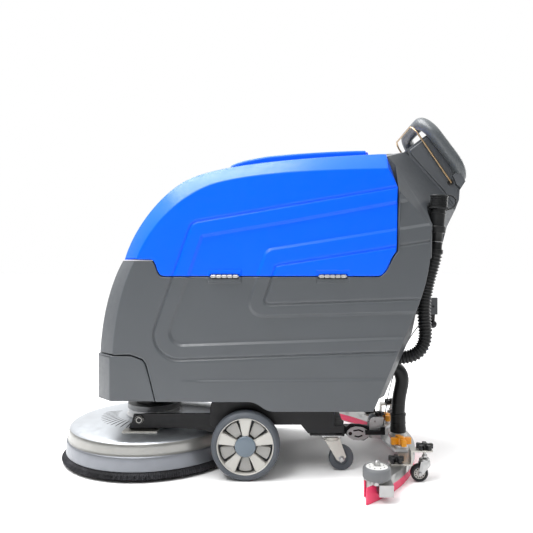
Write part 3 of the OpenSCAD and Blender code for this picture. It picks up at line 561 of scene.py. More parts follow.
def inward(outline):
    """Unit vectors pointing into a closed outline at each of its points."""
    ahead = np.roll(outline, -1, 0) - outline
    behind = outline - np.roll(outline, 1, 0)
    ahead /= np.linalg.norm(ahead, axis=1)[:, None] + 1e-9
    behind /= np.linalg.norm(behind, axis=1)[:, None] + 1e-9
    tangent = ahead + behind
    tangent /= np.linalg.norm(tangent, axis=1)[:, None] + 1e-9
    area = 0.5 * np.sum(outline[:, 0] * np.roll(outline[:, 1], -1) - np.roll(outline[:, 0], -1) * outline[:, 1])
    normal = np.stack([-tangent[:, 1], tangent[:, 0]], 1)
    return normal if area > 0 else -normal


def nearest(outline, x, z):
    """Index of the outline's segment nearest to a point, and how far along it."""
    a, b = outline, np.roll(outline, -1, 0)
    d = b - a
    t = np.clip(((x - a[:, 0]) * d[:, 0] + (z - a[:, 1]) * d[:, 1]) / (np.sum(d * d, 1) + 1e-9), 0, 1)
    gap = np.hypot(x - a[:, 0] - t * d[:, 0], z - a[:, 1] - t * d[:, 1])
    i = int(np.argmin(gap))
    return i, float(t[i])


def panel_grid(bm, upper, lower, step, swap):
    """Flat grid between two chains of the panel's inset outline, finer along moulded lines."""
    cols = np.unique(np.round(np.concatenate([np.arange(upper[0, 0], upper[-1, 0], step), upper[:, 0],
        lower[:, 0]]), 3))
    keep = [cols[0]]
    for c in cols[1:]:
        if c - keep[-1] > 0.7:
            keep.append(c)
    keep[-1] = cols[-1]
    cols = np.array(keep)
    high, low = np.interp(cols, upper[:, 0], upper[:, 1]), np.interp(cols, lower[:, 0], lower[:, 1])
    levels = np.arange(np.min(low), np.max(high) + step, step)
    grid = []
    for c, h, l in zip(cols, high, low):
        column, last = [], None
        for w in np.where(levels > h - 1.2, h, np.where(levels < l + 1.2, l, levels)):
            if w != last:
                vert, last = bm.verts.new((c, 0, w) if not swap else (w, 0, c)), w
            column.append(vert)
        grid.append(column)
    for one, two in zip(grid[:-1], grid[1:]):
        for j in range(len(levels) - 1):
            corners = list(dict.fromkeys([one[j], two[j], two[j + 1], one[j + 1]]))
            if len(corners) > 2:
                bm.faces.new(corners)


def refine(bm, reach):
    """Splits the edges near a moulded line."""
    middle = np.array([((e.verts[0].co + e.verts[1].co) / 2)[:] for e in bm.edges])
    near = relief_detail(middle[:, 0], middle[:, 2]) < reach
    edges = [e for e, n in zip(bm.edges, near) if n and e.calc_length() > 1.2 and not e.is_boundary]
    bmesh.ops.subdivide_edges(bm, edges=edges, cuts=1, use_grid_fill=True)


def chains(outline, swap):
    """Upper and lower chain of a closed outline, each running one way along the columns."""
    points = outline[:, ::-1] if swap else outline
    i, j = int(np.argmin(points[:, 0])), int(np.argmax(points[:, 0]))
    ring = lambda a, b: points[a:b + 1] if a <= b else np.vstack([points[a:], points[:b + 1]])
    one, two = ring(i, j), ring(j, i)[::-1]
    if np.mean(one[:, 1]) < np.mean(two[:, 1]):
        one, two = two, one
    for chain in (one, two):
        chain[:, 0] = np.maximum.accumulate(chain[:, 0] + np.arange(len(chain)) * 1e-6)
    return one.copy(), two.copy()


def eased(a, corner, b, steps):
    """Points of a bend from a to b round corner."""
    return [a * (1 - u) ** 2 + corner * 2 * u * (1 - u) + b * u * u for u in steps]


def rim_ring(place, outline, outer):
    """Whether an edge point of the face meets the bevel, and the points that carry it round the edge."""
    x, y, z = place
    i, t = nearest(outline, x, z)
    j = (i + 1) % len(outline)
    edge = outline[i] + (outline[j] - outline[i]) * t
    start, corner = np.array([x, y, z]), np.array([edge[0], y, edge[1]])
    if outer[i] is None or outer[j] is None:
        low = corner + np.array([0, EDGE_ROUND, 0])
        sink = [low + np.array([0, (EDGE_DEPTH - EDGE_ROUND) * u, 0]) for u in (0.33, 0.67, 1.0)]
        return False, eased(start, corner, low, (0.25, 0.5, 0.75, 1.0)) + sink
    partner = np.array(outer[i]) + (np.array(outer[j]) - outer[i]) * t
    far = np.array([partner[0], -BEVEL_HALF, partner[1]])
    slope = (far - corner) / np.linalg.norm(far - corner)
    ring = eased(start, corner, corner + slope * 4, (0.33, 0.67, 1.0))
    return True, ring + eased(far - slope * 5, far, far + np.array([0, 5, 0]), (0, 0.33, 0.67, 1.0))


def add_far_side(bm, tops):
    """Mirrors the near side, and spans the front face between the ends of both bevels."""
    copy = bmesh.ops.duplicate(bm, geom=bm.verts[:] + bm.edges[:] + bm.faces[:])
    for v in copy["geom"]:
        if isinstance(v, bmesh.types.BMVert):
            v.co.y = -v.co.y
    bmesh.ops.reverse_faces(bm, faces=[f for f in copy["geom"] if isinstance(f, bmesh.types.BMFace)])
    rails = {}
    for v in tops:
        w = copy["vert_map"][v]
        rails[v] = [v] + [bm.verts.new(v.co.lerp(w.co, k / FRONT_SPANS)) for k in range(1, FRONT_SPANS)] + [w]
    for e in dict.fromkeys(e for v in rails for e in v.link_edges if e.other_vert(v) in rails):
        a, b = rails[e.verts[0]], rails[e.verts[1]]
        for k in range(FRONT_SPANS):
            bm.faces.new((a[k], a[k + 1], b[k + 1], b[k]))


def moulded_shell(name, body, material, outline, outer, swap=False, relief=side_relief, passes=(9, 5)):
    """Both side panels of a shell with their rounded edges, and the bevel and face between them.

    outer holds the partner of each outline point across the bevel, or None where the edge only
    turns in.
    """
    bm = bmesh.new()
    panel_grid(bm, *chains(outline + inward(outline) * EDGE_ROUND, swap), GRID_STEP, swap)
    for reach in passes:
        refine(bm, reach)
    places = np.array([v.co[:] for v in bm.verts])
    heights = relief(places[:, 0], places[:, 2]) if relief else np.zeros(len(places))
    for v, h in zip(bm.verts, heights):
        v.co.y = -(PANEL_HALF + h)
    borders = [e for e in bm.edges if e.is_boundary]
    rims = {}
    for v in dict.fromkeys(v for e in borders for v in e.verts):
        bevelled, ring = rim_ring(v.co, outline, outer)
        rims[v] = bevelled, [v] + [bm.verts.new(p) for p in ring]
    for e in borders:
        (kind_a, a), (kind_b, b) = rims[e.verts[0]], rims[e.verts[1]]
        if kind_a == kind_b:
            for k in range(len(a) - 1):
                bm.faces.new((a[k], b[k], b[k + 1], a[k + 1]))
    bmesh.ops.recalc_face_normals(bm, faces=bm.faces)
    if max(bm.faces, key=lambda f: f.calc_area()).normal.y > 0:
        bmesh.ops.reverse_faces(bm, faces=bm.faces)
    add_far_side(bm, [ring[-1] for bevelled, ring in rims.values() if bevelled])
    bmesh.ops.recalc_face_normals(bm, faces=bm.faces)
    return Shape(bm).piece(name, material, body, slot=material, angle=40, fix=False)


def blue_shell():
    """Upper tank's moulded sides, round front and top."""
    rest = np.vstack([[[401.5, 846]], along([[401.3, 840], [398.5, 662]]), SEAM_REAR[::-1][1:],
        along([[340, 590], [-268, 590]]), SEAM_FRONT[::-1], along([[-316, 637.5], [-346, 637.5]])])
    outline = np.vstack([LID_PANEL + np.array([0, 0.7]), rest])
    outer = [(x - 0.5, z + 0.7) for x, z in LID_OUTER] + [None] * len(rest)
    moulded_shell("recovery_shell", "recovery", "blue_shell", outline, outer)


def grey_shell():
    """Lower tank's moulded sides and round front."""
    front = TANK_FRONT_PANEL[::-1]
    seam = np.vstack([SEAM_FRONT, along([[-268, 590.5], [341, 590.5]]), SEAM_REAR]) + np.array([0, -3.1])
    seam[:len(SEAM_FRONT) - 1, 0] -= 1.6
    seam[-12:, 0] += 2.4
    tower = [along([[403.2, 668], [405, 835]]), [[408, 834]], along([[411, 831], [494, 740]]), [[497.2, 736]]]
    under = [along([[-292, 228.5], [-30, 228.5]]), curve([-30, 228.5], [5, 228.5], [10, 200.5], [45, 200.5],
        12)[1:], along([[50, 200.5], [326, 200.5]])]
    cover = [[-296, 228.5], [-310.5, 290], [-323.5, 338], [-333, 351.5], [-371, 365], [-374, 364.5],
        [-416, 363]]
    outline = np.vstack([front, along([[-350, 634.8], [-316, 634.8]]), seam, *tower, TANK_REAR[::-1],
        np.vstack(under)[::-1], cover])
    outer = [(x - 0.7, z) for x, z in TANK_FRONT_OUTER[::-1]] + [None] * (len(outline) - len(front))
    moulded_shell("solution_shell", "machine", "grey_shell", outline, outer)


def cover_shell():
    """Bumper cover's moulded faces."""
    left = along([[-428, 360.5], [-428, 229]])
    rest = np.vstack([along([[-424, 229], [-302, 229]]), along(COVER_SEAM[::-1])[:-1],
        along([[-373, 360.8], [-424, 360.8]])])
    outer = [(-478.7, z) for x, z in left] + [None] * len(rest)
    moulded_shell("bumper_shell", "machine", "grey_shell", np.vstack([left, rest]), outer, swap=True,
        relief=None, passes=())


# ---------------------------------------------------------------- detailed pieces
AXLE = (-38, 100)
DECK = (-361, 0, 0)
CASTER_STEM, CASTER_Y = 216, 173
CASTER_AXLE = (246, 37.5)
SPOKES = 5
HINGE_Y, HINGE_Z = -270.4, 589
SMALL_CASTER = (478, 267)
FIXING_X = 396
ROLLER = (320, 400)
WING = (435, 140)
DRAIN_FOOT = (522, -224, 668)
DRAIN_TILT = math.radians(3.6)
DRAIN_ROUTE = [(522, -224, 668), (518, -218, 640), (511, -208, 605), (504, -199, 570), (499, -192, 538),
    (496, -188, 508), (496, -186, 478), (498, -185, 448), (500, -185, 420), (498, -185, 396),
    (490, -185, 374), (477, -185, 358), (460, -184, 348), (442, -182, 343), (424, -180, 341),
    (402, -180, 341)]
SUCTION_ROUTE = [(453, 0, 66), (453, 0, 90), (453, 0, 120), (454, 0, 150), (457, 0, 180), (462, 0, 205),
    (466, 0, 226), (466, 0, 244), (461, 0, 260), (451, 0, 272), (437, 0, 279), (420, 0, 282), (402, 0, 283),
    (386, 0, 283)]


def around(count, first=0):
    """Evenly spaced angles of a full turn, from first degrees."""
    return [math.radians(first) + 2 * math.pi * k / count for k in range(count)]


def smooth_path(points, spacing):
    """Evenly spaced points on a smooth curve through the given ones."""
    p = np.array(points, float)
    p = np.vstack([2 * p[0] - p[1], p, 2 * p[-1] - p[-2]])
    out = []
    for i in range(1, len(p) - 2):
        for t in np.linspace(0, 1, 24, endpoint=False):
            out.append(0.5 * (2 * p[i] + (p[i + 1] - p[i - 1]) * t
                + (2 * p[i - 1] - 5 * p[i] + 4 * p[i + 1] - p[i + 2]) * t * t
                + (3 * p[i] - p[i - 1] - 3 * p[i + 1] + p[i + 2]) * t ** 3))
    out = np.array(out + [p[-2]])
    run = np.concatenate([[0], np.cumsum(np.linalg.norm(np.diff(out, axis=0), axis=1))])
    where = np.linspace(0, run[-1], int(run[-1] / spacing) + 1)
    return np.stack([np.interp(where, run, out[:, k]) for k in range(3)], 1), where


def blended(shape, name, material, slot, a, b, start, end, nodes, angle=40):
    """Makes a piece baked into the row's frame, on no body; a, b, start and end are not used."""
    obj = shape.piece(name, material, None, slot=slot, angle=angle)
    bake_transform(obj)
    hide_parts(*nodes)


def tank_lid():
    """Lift-up lid: crowned top, rounded edges and a lip all round."""
    shape = Shape()
    top = np.vstack([curve([-92, 928], [-70, 941], [-40, 947], [20, 957], 16), curve([20, 957], [110, 967],
        [240, 974], [324, 975], 16)[1:]])
    low = lambda x: 912 + (x + 92) * 0.115 - ((x + 92) / 100) ** 2 * 0.55
    rows = [(0, 1.5), (0.5, 1.5), (0.8, 1.1), (0.93, 0.2), (0.972, -1.6), (0.99, -4.5), (1.0, -9)]
    half = 156
    points, grid = [], []
    for x, z in top:
        ring = []
        for side in (-1, 1):
            for f, drop in (rows[::-1] if side < 0 else rows):
                ring.append(len(points))
                points.append((x, side * f * half, z + drop))
        left = len(points)
        points += [(x, half, low(x) - 1), (x, -half, low(x) - 1)]
        grid.append(ring + [left, left + 1])
    n = len(grid[0])
    faces = [(a[k], a[(k + 1) % n], b[(k + 1) % n], b[k]) for a, b in zip(grid[:-1], grid[1:])
        for k in range(n)]
    shape.add(points, faces + [tuple(grid[0]), tuple(grid[-1][::-1])])
    shape.piece("lid_top", "blue_shell", "lid", nodes=["tank_lid"], bevel=2.0, angle=50, segments=3)


def wheel(side, s):
    """Transport wheel: round-shouldered tyre, five flaring spokes over a recessed disc, and a hub cap."""
    place = Matrix.Translation((AXLE[0], s * 230.7, AXLE[1])) @ Matrix.Rotation(math.radians(-90 * s), 4, "X")
    body = "wheel_" + side
    tyre = [(81.8, 2), (83, 1), (88, 0.4), (91, 1.2), (94.5, 2.4), (97.6, 5.6), (99.4, 10.5), (100, 16),
        (100, 19.6), (99, 20.2), (99, 22), (100, 22.6), (100, 25.4), (99, 26), (99, 27.8), (100, 28.4),
        (99.4, 34.5), (97.6, 39.4), (94.5, 42.6), (91.6, 43.8), (91, 44.6), (88, 45), (84.5, 44.6), (83, 43),
        (81.8, 42.5)]
    Shape().lathe(tyre, n=144).placed(place).piece("tyre_" + side, "tyre_rubber", body, slot="tyre_rubber",
        nodes=["wheel_tyre_" + side], angle=50)
    rim = Shape().lathe([(78.6, 4), (82, 3), (82, 42.6), (81.2, 43.4), (79.8, 43.2), (78.8, 42), (78.6, 38)],
        n=96)
    rim.lathe([(0, 6), (24, 6), (26, 8), (26, 34), (28.4, 37), (28.4, 39.6), (0, 39.6)], n=64)
    spoke = [(24, -7.5), (50, -12.5), (80, -19.4), (80, 19.4), (50, 12.5), (24, 7.5)]
    raised = [(31, -6.6), (50, -10.8), (78.8, -17.2), (78.8, 17.2), (50, 10.8), (31, 6.6)]
    quarter = [(34, 0.26), (37, 0.29), (70, 0.27), (73, 0.23), (74, 0.1)]
    wedges = Shape()
    for k in range(SPOKES):
        turn = Matrix.Rotation(math.radians(90 + 360 / SPOKES * k), 4, "Z")
        rim.merge(Shape().prism(spoke, 14, 38.6, "Z").placed(turn))
        rim.merge(Shape().prism(raised, 36, 40.2, "Z").placed(turn))
        mid = math.radians(126 + 360 / SPOKES * k)
        arc = [(r, mid - a) for r, a in quarter] + [(r, mid + a) for r, a in quarter[::-1]]
        wedges.prism([(r * math.cos(a), r * math.sin(a)) for r, a in arc], 12, 31, "Z")
    rim.placed(place).piece("rim_" + side, "rim_plastic", body, slot="rim_plastic",
        nodes=["wheel_rim_" + side], bevel=1.3, angle=30, segments=3)
    Shape().lathe([(0, 9), (78, 9), (78, 17), (71, 17), (69, 14), (0, 14)],
        n=96).placed(place).piece("rim_disc_" + side, "rim_dark", body, slot="rim_plastic")
    # The recessed wedges take the darker copy of the rim plastic: painted shade.
    wedges.placed(place).piece("rim_wedges_" + side, "rim_plastic_painted_shade", body, slot="rim_plastic", bevel=1.6,
        segments=3)
    cap = [(0, 38), (29.5, 38), (30, 39), (30, 41.5), (29, 43), (26, 44.2), (18, 45), (0, 45.4)]
    Shape().lathe(cap, n=64).placed(place).piece("hub_cap_" + side, "hub_cap", body, slot="rim_plastic",
        angle=50)


def deck_shell():
    """Spun dome, the step round its edge and the band that holds the skirt."""
    dome = [(84, 128), (92, 128.6), (120, 127), (180, 122.6), (228, 116.6), (250, 112.4), (259.5, 109.6),
        (264.4, 107), (266.6, 104.6), (265, 103.4), (262, 102), (246, 107.2), (180, 118.4), (120, 123),
        (84, 124.4)]
    side = [(266.4, 104.9), (267.6, 103.2), (269, 98.6), (269.6, 93), (270, 78), (270.6, 73), (272.2, 69.6),
        (269, 69.6), (267.6, 72), (266.6, 92), (265.2, 102)]
    band = [(268.4, 70.4), (272.4, 70.4), (274.8, 68.6), (275.8, 65.4), (276.4, 54), (277, 34), (277.2, 29),
        (276.4, 27.6), (274.8, 28), (273.6, 60), (270.4, 66)]
    # The side and band take the darker aluminium copies: painted shade below the lit top of the dome.
    for name, profile, material, nodes, angle in (("deck_dome", dome, "spun_aluminium", ["deck_cover"], 24),
            ("deck_side", side, "side_aluminium_painted_shade", (), 40), ("deck_band", band, "band_aluminium_painted_shade", (), 40)):
        Shape().lathe(profile, DECK, n=256).piece(name, material, "deck", slot="spun_aluminium", nodes=nodes,
            angle=angle)


def deck_fittings():
    """Gearbox flange with its ring of bolts, the arms' plates and the pivot caps."""
    gear = Shape().lathe([(62, 127), (88, 127), (90, 129), (90, 133), (86, 136), (84, 138), (84, 149),
        (82, 151.4), (62, 151.4)], DECK, n=128)
    for a in around(8, 22):
        gear.head(4.4, 2.6, 3.6, 3.4, (DECK[0] + 87 * math.cos(a), 87 * math.sin(a), 133), (0, 0, 1))
    gear.piece("gearbox_flange", "plate_grey", "deck", slot="grey_metal", angle=30)
    plates, caps = Shape(), Shape()
    for t in (-1, 1):
        plates.box((-412, min(t * 168, t * 204), 117), (-306, max(t * 168, t * 204), 124))
        caps.lathe([(0, 0), (12, 0), (12.6, 1), (12.6, 5.5), (11.4, 7.2), (6.6, 7.6), (6.0, 4.6), (0, 4.6)],
            (-364, t * 186.6, 155), (0, t, 0), n=48)
    plates.piece("deck_plates", "caster_steel", "deck", slot="frame_black", bevel=1.0)
    caps.piece("deck_bolts", "rim_plastic", "deck", slot="frame_black", angle=30)


def deck_louvre_shade():
    """Curved slots in the dome's near side, drawn as raised black strips: painted shade in the openings."""
    slots = Shape()
    inner, outer, half = 108, 180, 3.4
    for k in range(13):
        a = math.radians(168 + 7.2 * k)
        path = []
        for r in np.linspace(inner, outer, 7):
            bend = a + 0.12 * (r - inner) / (outer - inner)
            z = np.interp(r, [92, 120, 180, 228], [128.6, 127, 122.6, 115.4])
            path.append((DECK[0] + r * math.cos(bend), r * math.sin(bend), z - half + 0.9))
        slots.tube(path, [half * w for w in (0.5, 0.9, 1, 1, 1, 0.9, 0.5)], n=10)
    slots.piece("deck_louvre_shade", "black_plastic", "deck", slot="black_rubber", angle=60)


def deck_skirt():
    """Bristle skirt round the deck, in uneven tufts."""
    profile = [(271.8, 50), (272.6, 28), (277.5, 19), (282.5, 11), (289, 10.4), (282.5, 20), (274.2, 27.4),
        (273.2, 50)]
    count, n = 540, len(profile)
    points, faces = [], []
    for k, a in enumerate(around(count)):
        swell = 1.5 if k % 2 else -0.7
        tip = random.uniform(-1.6, 1.4)
        for i, (r, z) in enumerate(profile):
            move = (swell + random.uniform(-0.3, 0.3)) * (i in (4, 5)) + 0.25 * swell * (i == 4)
            points.append((DECK[0] + (r + move) * math.cos(a), (r + move) * math.sin(a), z
                + (tip if i in (3, 4) else 0)))
        m = (k + 1) % count
        faces += [(k * n + i, k * n + (i + 1) % n, m * n + (i + 1) % n, m * n + i) for i in range(n)]
    Shape().add(points, faces).piece("skirt_bristles", "bristle", "deck", slot="black_rubber",
        nodes=["deck_skirt"], angle=18)


def brush():
    """Rings of leaning tufts under the brush disc."""
    tufts = Shape()
    for ring, number in ((112, 34), (150, 46), (188, 56), (226, 66)):
        lean = 1 + 0.11 * (ring - 80) / 146
        for k in range(number):
            a = 2 * math.pi * (k + 0.5 * (ring % 4 == 0)) / number
            top, foot = (Vector((DECK[0] + r * math.cos(a), r * math.sin(a), z)) for r,
                z in ((ring, 38.2), (ring * lean, 4.8)))
            tufts.tube([top, top.lerp(foot, 0.5), foot], [5.0, 6.0, 8.5], n=9)
    tufts.lathe([(72, 33), (222, 33), (224, 38.2), (72, 38.2)], DECK, n=96)
    tufts.piece("brush_tufts", "bristle", "brush", slot="bristle", nodes=["brush_bristles"], angle=30)


def caster(side, s):
    """Rear swivel caster: swivel race, nut heads and a ringed wheel."""
    y = s * CASTER_Y
    axle = (CASTER_AXLE[0], y, CASTER_AXLE[1])
    Shape().lathe([(6.3, 91.6), (22, 91.6), (26.5, 94), (29, 98.6), (29.6, 103), (28, 106.6), (24, 107.4),
        (6.3, 107.4)], (CASTER_STEM, y, 0), n=64).piece("caster_race_" + side, "caster_steel", "caster_"
        + side, slot="steel", angle=30)
    nuts = Shape()
    for t in (-1, 1):
        nuts.lathe([(0, 0), (9.5, 0), (9.5, 1.2), (7.2, 1.4), (7.2, 5.6), (6, 6.8), (0, 6.8)],
            (axle[0], y + t * 18.5, axle[2]), (0, t, 0), n=24)
    for dx in (-24, 24):
        for dy in (-24, 24):
            nuts.head(6, 4, 5, 5, (CASTER_STEM + dx, y + dy, 108.8), (0, 0, -1))
    nuts.piece("caster_nuts_" + side, "steel", "caster_" + side, slot="steel", bevel=0.4)
    tread = [(22, -11), (31, -12.6), (34.8, -11.4), (37, -8.4), (37.5, -4), (37.5, 4), (37, 8.4),
        (34.8, 11.4), (31, 12.6), (28.5, 12.2), (27.6, 11), (25.4, 11), (24.6, 12), (22, 12), (21, 10.8),
        (21, -10.8)]
    hub = [(4.3, -12.6), (9, -12.8), (10, -10), (19, -9), (21.2, -10.5), (21.2, 10.5), (19, 9), (10, 10),
        (9, 12.8), (4.3, 12.6)]
    Shape().lathe(tread, axle, (0, 1, 0), n=96).lathe(hub, axle, (0, 1, 0), n=64).piece("caster_tread_"
        + side, "tyre_rubber", "caster_wheel_" + side, slot="tyre_rubber", nodes=["caster_wheel_" + side],
        angle=30)


def roller(side, s):
    """Bumper roller: grey tyre with a white disc let into its top."""
    x, y = ROLLER[0], s * ROLLER[1]
    tyre = [(28.5, 58), (31, 58), (35.6, 60), (37.5, 64), (37.5, 84), (36.2, 87.6), (33.4, 89.6),
        (30.6, 90.6), (29.4, 90), (28.5, 88)]
    disc = [(6.4, 59), (28.8, 59), (28.8, 89.4), (27.4, 90.2), (12, 90.6), (11, 92.2), (6.4, 92.2)]
    body = "roller_" + side
    Shape().lathe(tyre, (x, y, 0), n=96).piece("roller_tyre_" + side, "roller_grey", body, slot="tyre_rubber",
        nodes=[body], angle=40)
    Shape().lathe(disc, (x, y, 0), n=64).piece("roller_disc_" + side, "clear_white", body, slot="tyre_rubber",
        angle=30)
    # Black discs on the white disc stand in for its holes: painted shade.
    hole_shade = Shape()
    for a in around(8, 20):
        hole_shade.disc(1.9, 0.7, (x + 20.5 * math.cos(a), y + 20.5 * math.sin(a), 90.25), n=12)
    hole_shade.piece("roller_hole_shade_" + side, "black_plastic", body, slot="tyre_rubber")


def star_knob(name, body, node, place, lobes, reach, size, height, material="black_plastic", hub=9):
    """Hand knob with rounded paddles round a domed hub."""
    knob = Shape()
    half = [(0, 0.62), (hub, 0.62), (reach - 2, 1), (reach + size * 0.6, 0.9), (reach + size * 0.75, 0.4)]
    paddle = [(x, -size * w) for x, w in half] + [(x, size * w) for x, w in half[::-1]]
    for k in range(lobes):
        turn = Matrix.Translation(place) @ Matrix.Rotation(2 * math.pi * k / lobes + 0.15, 4, "Z")
        knob.merge(Shape().prism(paddle, 0, height * 0.82, "Z").placed(turn))
    knob.lathe([(0, -0.5), (hub, -0.5), (hub, height * 0.84), (hub * 0.86, height * 0.97),
        (hub * 0.5, height), (0, height)], place, n=40)
    knob.piece(name, material, body, nodes=[node] if node else [], slot=material, bevel=1.2, angle=35,
        segments=3)


def small_caster(side, s):
    """Squeegee caster: black tyre on a pale hub with a ring of openings."""
    x, y = SMALL_CASTER[0] - 16, s * SMALL_CASTER[1]
    body = "small_wheel_" + side
    tread = [(16.5, -9), (20, -10), (23.4, -8.8), (25, -5.5), (25, 5.5), (23.4, 8.8), (20, 10), (16.5, 9)]
    hub = [(3.3, -10), (6, -10), (6.6, -7.4), (16.8, -7.4), (16.8, 7.4), (6.6, 7.4), (6, 10), (3.3, 10)]
    Shape().lathe(tread, (x, y, 25), (0, 1, 0), n=72).piece("small_tread_" + side, "black_rubber", body,
        slot="black_rubber", nodes=[body], angle=40)
    Shape().lathe(hub, (x, y, 25), (0, 1, 0), n=48).piece("small_hub_" + side, "rim_plastic", body,
        slot="black_rubber", angle=30)
    opening_shade, nuts = Shape(), Shape()
    for t in (-1, 1):
        # Black discs on the hub stand in for its openings: painted shade.
        for a in around(12):
            opening_shade.disc(1.9, 0.5, (x + 12.4 * math.cos(a), y + t * 7.3, 25 + 12.4 * math.sin(a)), (0, t, 0),
                n=10)
        nuts.head(6.2, 3.6, 5, 4.6, (x, y + t * 13.6, 25), (0, t, 0))
    opening_shade.piece("small_opening_shade_" + side, "black_rubber", body, slot="black_rubber")
    nuts.lathe([(4.4, 0), (15.6, 0), (15.6, 2.2), (12.5, 4.6), (4.4, 4.6)], (SMALL_CASTER[0], y, 62.4), n=40)
    nuts.piece("small_nuts_" + side, "steel", "small_caster_" + side, slot="steel", bevel=0.4)


def drain_hose():
    """Corrugated hose from the tank to its cuff, parked in the corner of the tower."""
    path, run = smooth_path(DRAIN_ROUTE, 1.45)
    wave = np.cos(2 * math.pi * run / 10.0)
    radii = 19.1 + 1.9 * np.sign(wave) * np.abs(wave) ** 0.55
    Shape().tube(path, radii, n=36).piece("drain_corrugated", "hose_black", "machine", slot="black_rubber",
        nodes=["drain_hose"], angle=70)
    axis = (math.sin(DRAIN_TILT), 0, math.cos(DRAIN_TILT))
    cuff = [(0, -12), (19.6, -12), (20.4, -11), (20.4, -2), (19.6, -0.6), (17.4, 0), (16.6, 3), (16.6, 20),
        (17.6, 20.8), (17.6, 23), (16.6, 23.8), (16.6, 44), (18, 47), (23.4, 48.4), (24, 49.4), (24, 66.4),
        (23.2, 67.6), (20.4, 68.2), (20.2, 70), (21, 100), (21, 104), (22.4, 105), (22.4, 108), (21, 109),
        (21, 117), (0, 117)]
    Shape().lathe(cuff, DRAIN_FOOT, axis, n=64).piece("drain_cuff", "hose_black", "machine",
        slot="black_rubber", angle=30)
    Shape().lathe([(16.7, 20.4), (18.1, 20.9), (18.1, 22.9), (16.7, 23.4)], DRAIN_FOOT, axis,
        n=48).piece("drain_clip", "steel", "machine", slot="black_rubber")
    lid = [(0, 117.8), (24.4, 117.8), (25.6, 119), (25.6, 122), (24.4, 123.4), (23.8, 124)]
    for k in range(5):
        z = 126 + k * 5.4
        lid += [(23.8, z), (25.4, z + 0.8), (25.4, z + 3.2), (23.8, z + 4)]
    lid += [(24, 153.4), (26.6, 154), (26.6, 157.6), (25.4, 159), (0, 159.2)]
    cap = Shape().lathe(lid, DRAIN_FOOT, axis, n=64)
    cap.piece("drain_cap_ribbed", "hose_black", "drain_cap", slot="black_rubber", nodes=["drain_cap"],
        angle=30)
    strap = [(546, -226, 784), (560, -232, 786), (572, -236, 794), (577, -238, 806), (573, -238, 818),
        (563, -235, 825), (552, -231, 826)]
    band = Shape().tube(smooth_path(strap, 3)[0], 2.2, n=12)
    band.lathe([(24.2, 119.4), (28.6, 119.6), (28.6, 124), (24.2, 124.2)], DRAIN_FOOT, axis, n=64)
    band.piece("cap_strap", "hose_black", "drain_cap", slot="black_rubber", angle=40)


def suction_hose():
    """Smooth suction hose in two lengths, both baked into the row's frame, and its cuff on the squeegee."""
    path = smooth_path(SUCTION_ROUTE, 3.5)[0]
    cut = int(np.argmin(np.abs(path[:, 2] - 158) + 1000 * (path[:, 0] < 450)))
    for name, part, bodies, ends in (("suction_hose_low", path[:cut + 1], ("squeegee", "squeegee_arm"),
            ((453, 0, 80), (454, 0, 152))), ("suction_hose_high", path[cut:], ("squeegee_arm", "machine"),
            ((454, 0, 160), (452, 0, 272)))):
        length = np.concatenate([[0], np.cumsum(np.linalg.norm(np.diff(part, axis=0), axis=1))])
        radii = 22.6 + 0.35 * np.cos(2 * math.pi * length / 7.0)
        shape = Shape().tube(part, radii, n=40)
        blended(shape, name, "hose_black", "black_rubber", *bodies, *ends, nodes=["suction_hose"], angle=60)
    cuff = [(22.4, 64), (25.6, 64), (26.4, 65), (26.4, 79), (25.4, 80.4), (25.2, 92), (26.2, 93), (26.2, 96),
        (25.2, 97), (25.2, 118), (26.6, 119.4), (26.6, 126), (25.4, 127.6), (22.4, 128)]
    Shape().lathe(cuff, (453, 0, 0), n=64).piece("suction_cuff", "hose_black", "squeegee",
        slot="black_rubber", angle=30)


def caster_brackets():
    """Z brackets that carry the squeegee casters, with their fixing studs."""
    shape = Shape()
    outline = [(378, 49.6), (440, 49.6), (440, 88), (498, 88), (498, 93), (435, 93), (435, 54), (378, 54)]
    for side, s in SIDES:
        y = s * SMALL_CASTER[1]
        shape.prism(outline, y - 18, y + 18, "Y")
        shape.disc(4, 6, (FIXING_X, y, 54), n=20)
        shape.lathe([(4.1, 0), (9, 0), (9, 1.8), (4.1, 1.8)], (FIXING_X, y, 54), n=32)
    shape.piece("bracket_pair", "caster_steel", "squeegee", nodes=["caster_brackets"], bevel=1.2, segments=3)


PANEL_TILT = math.radians(55.1)
PANEL_CENTRE = (575.6, 0, 976.4)


def on_panel():
    """From the control panel's own axes, Z out of its face, to the row's."""
    return Matrix.Translation(PANEL_CENTRE) @ Matrix.Rotation(PANEL_TILT, 4, "Y")


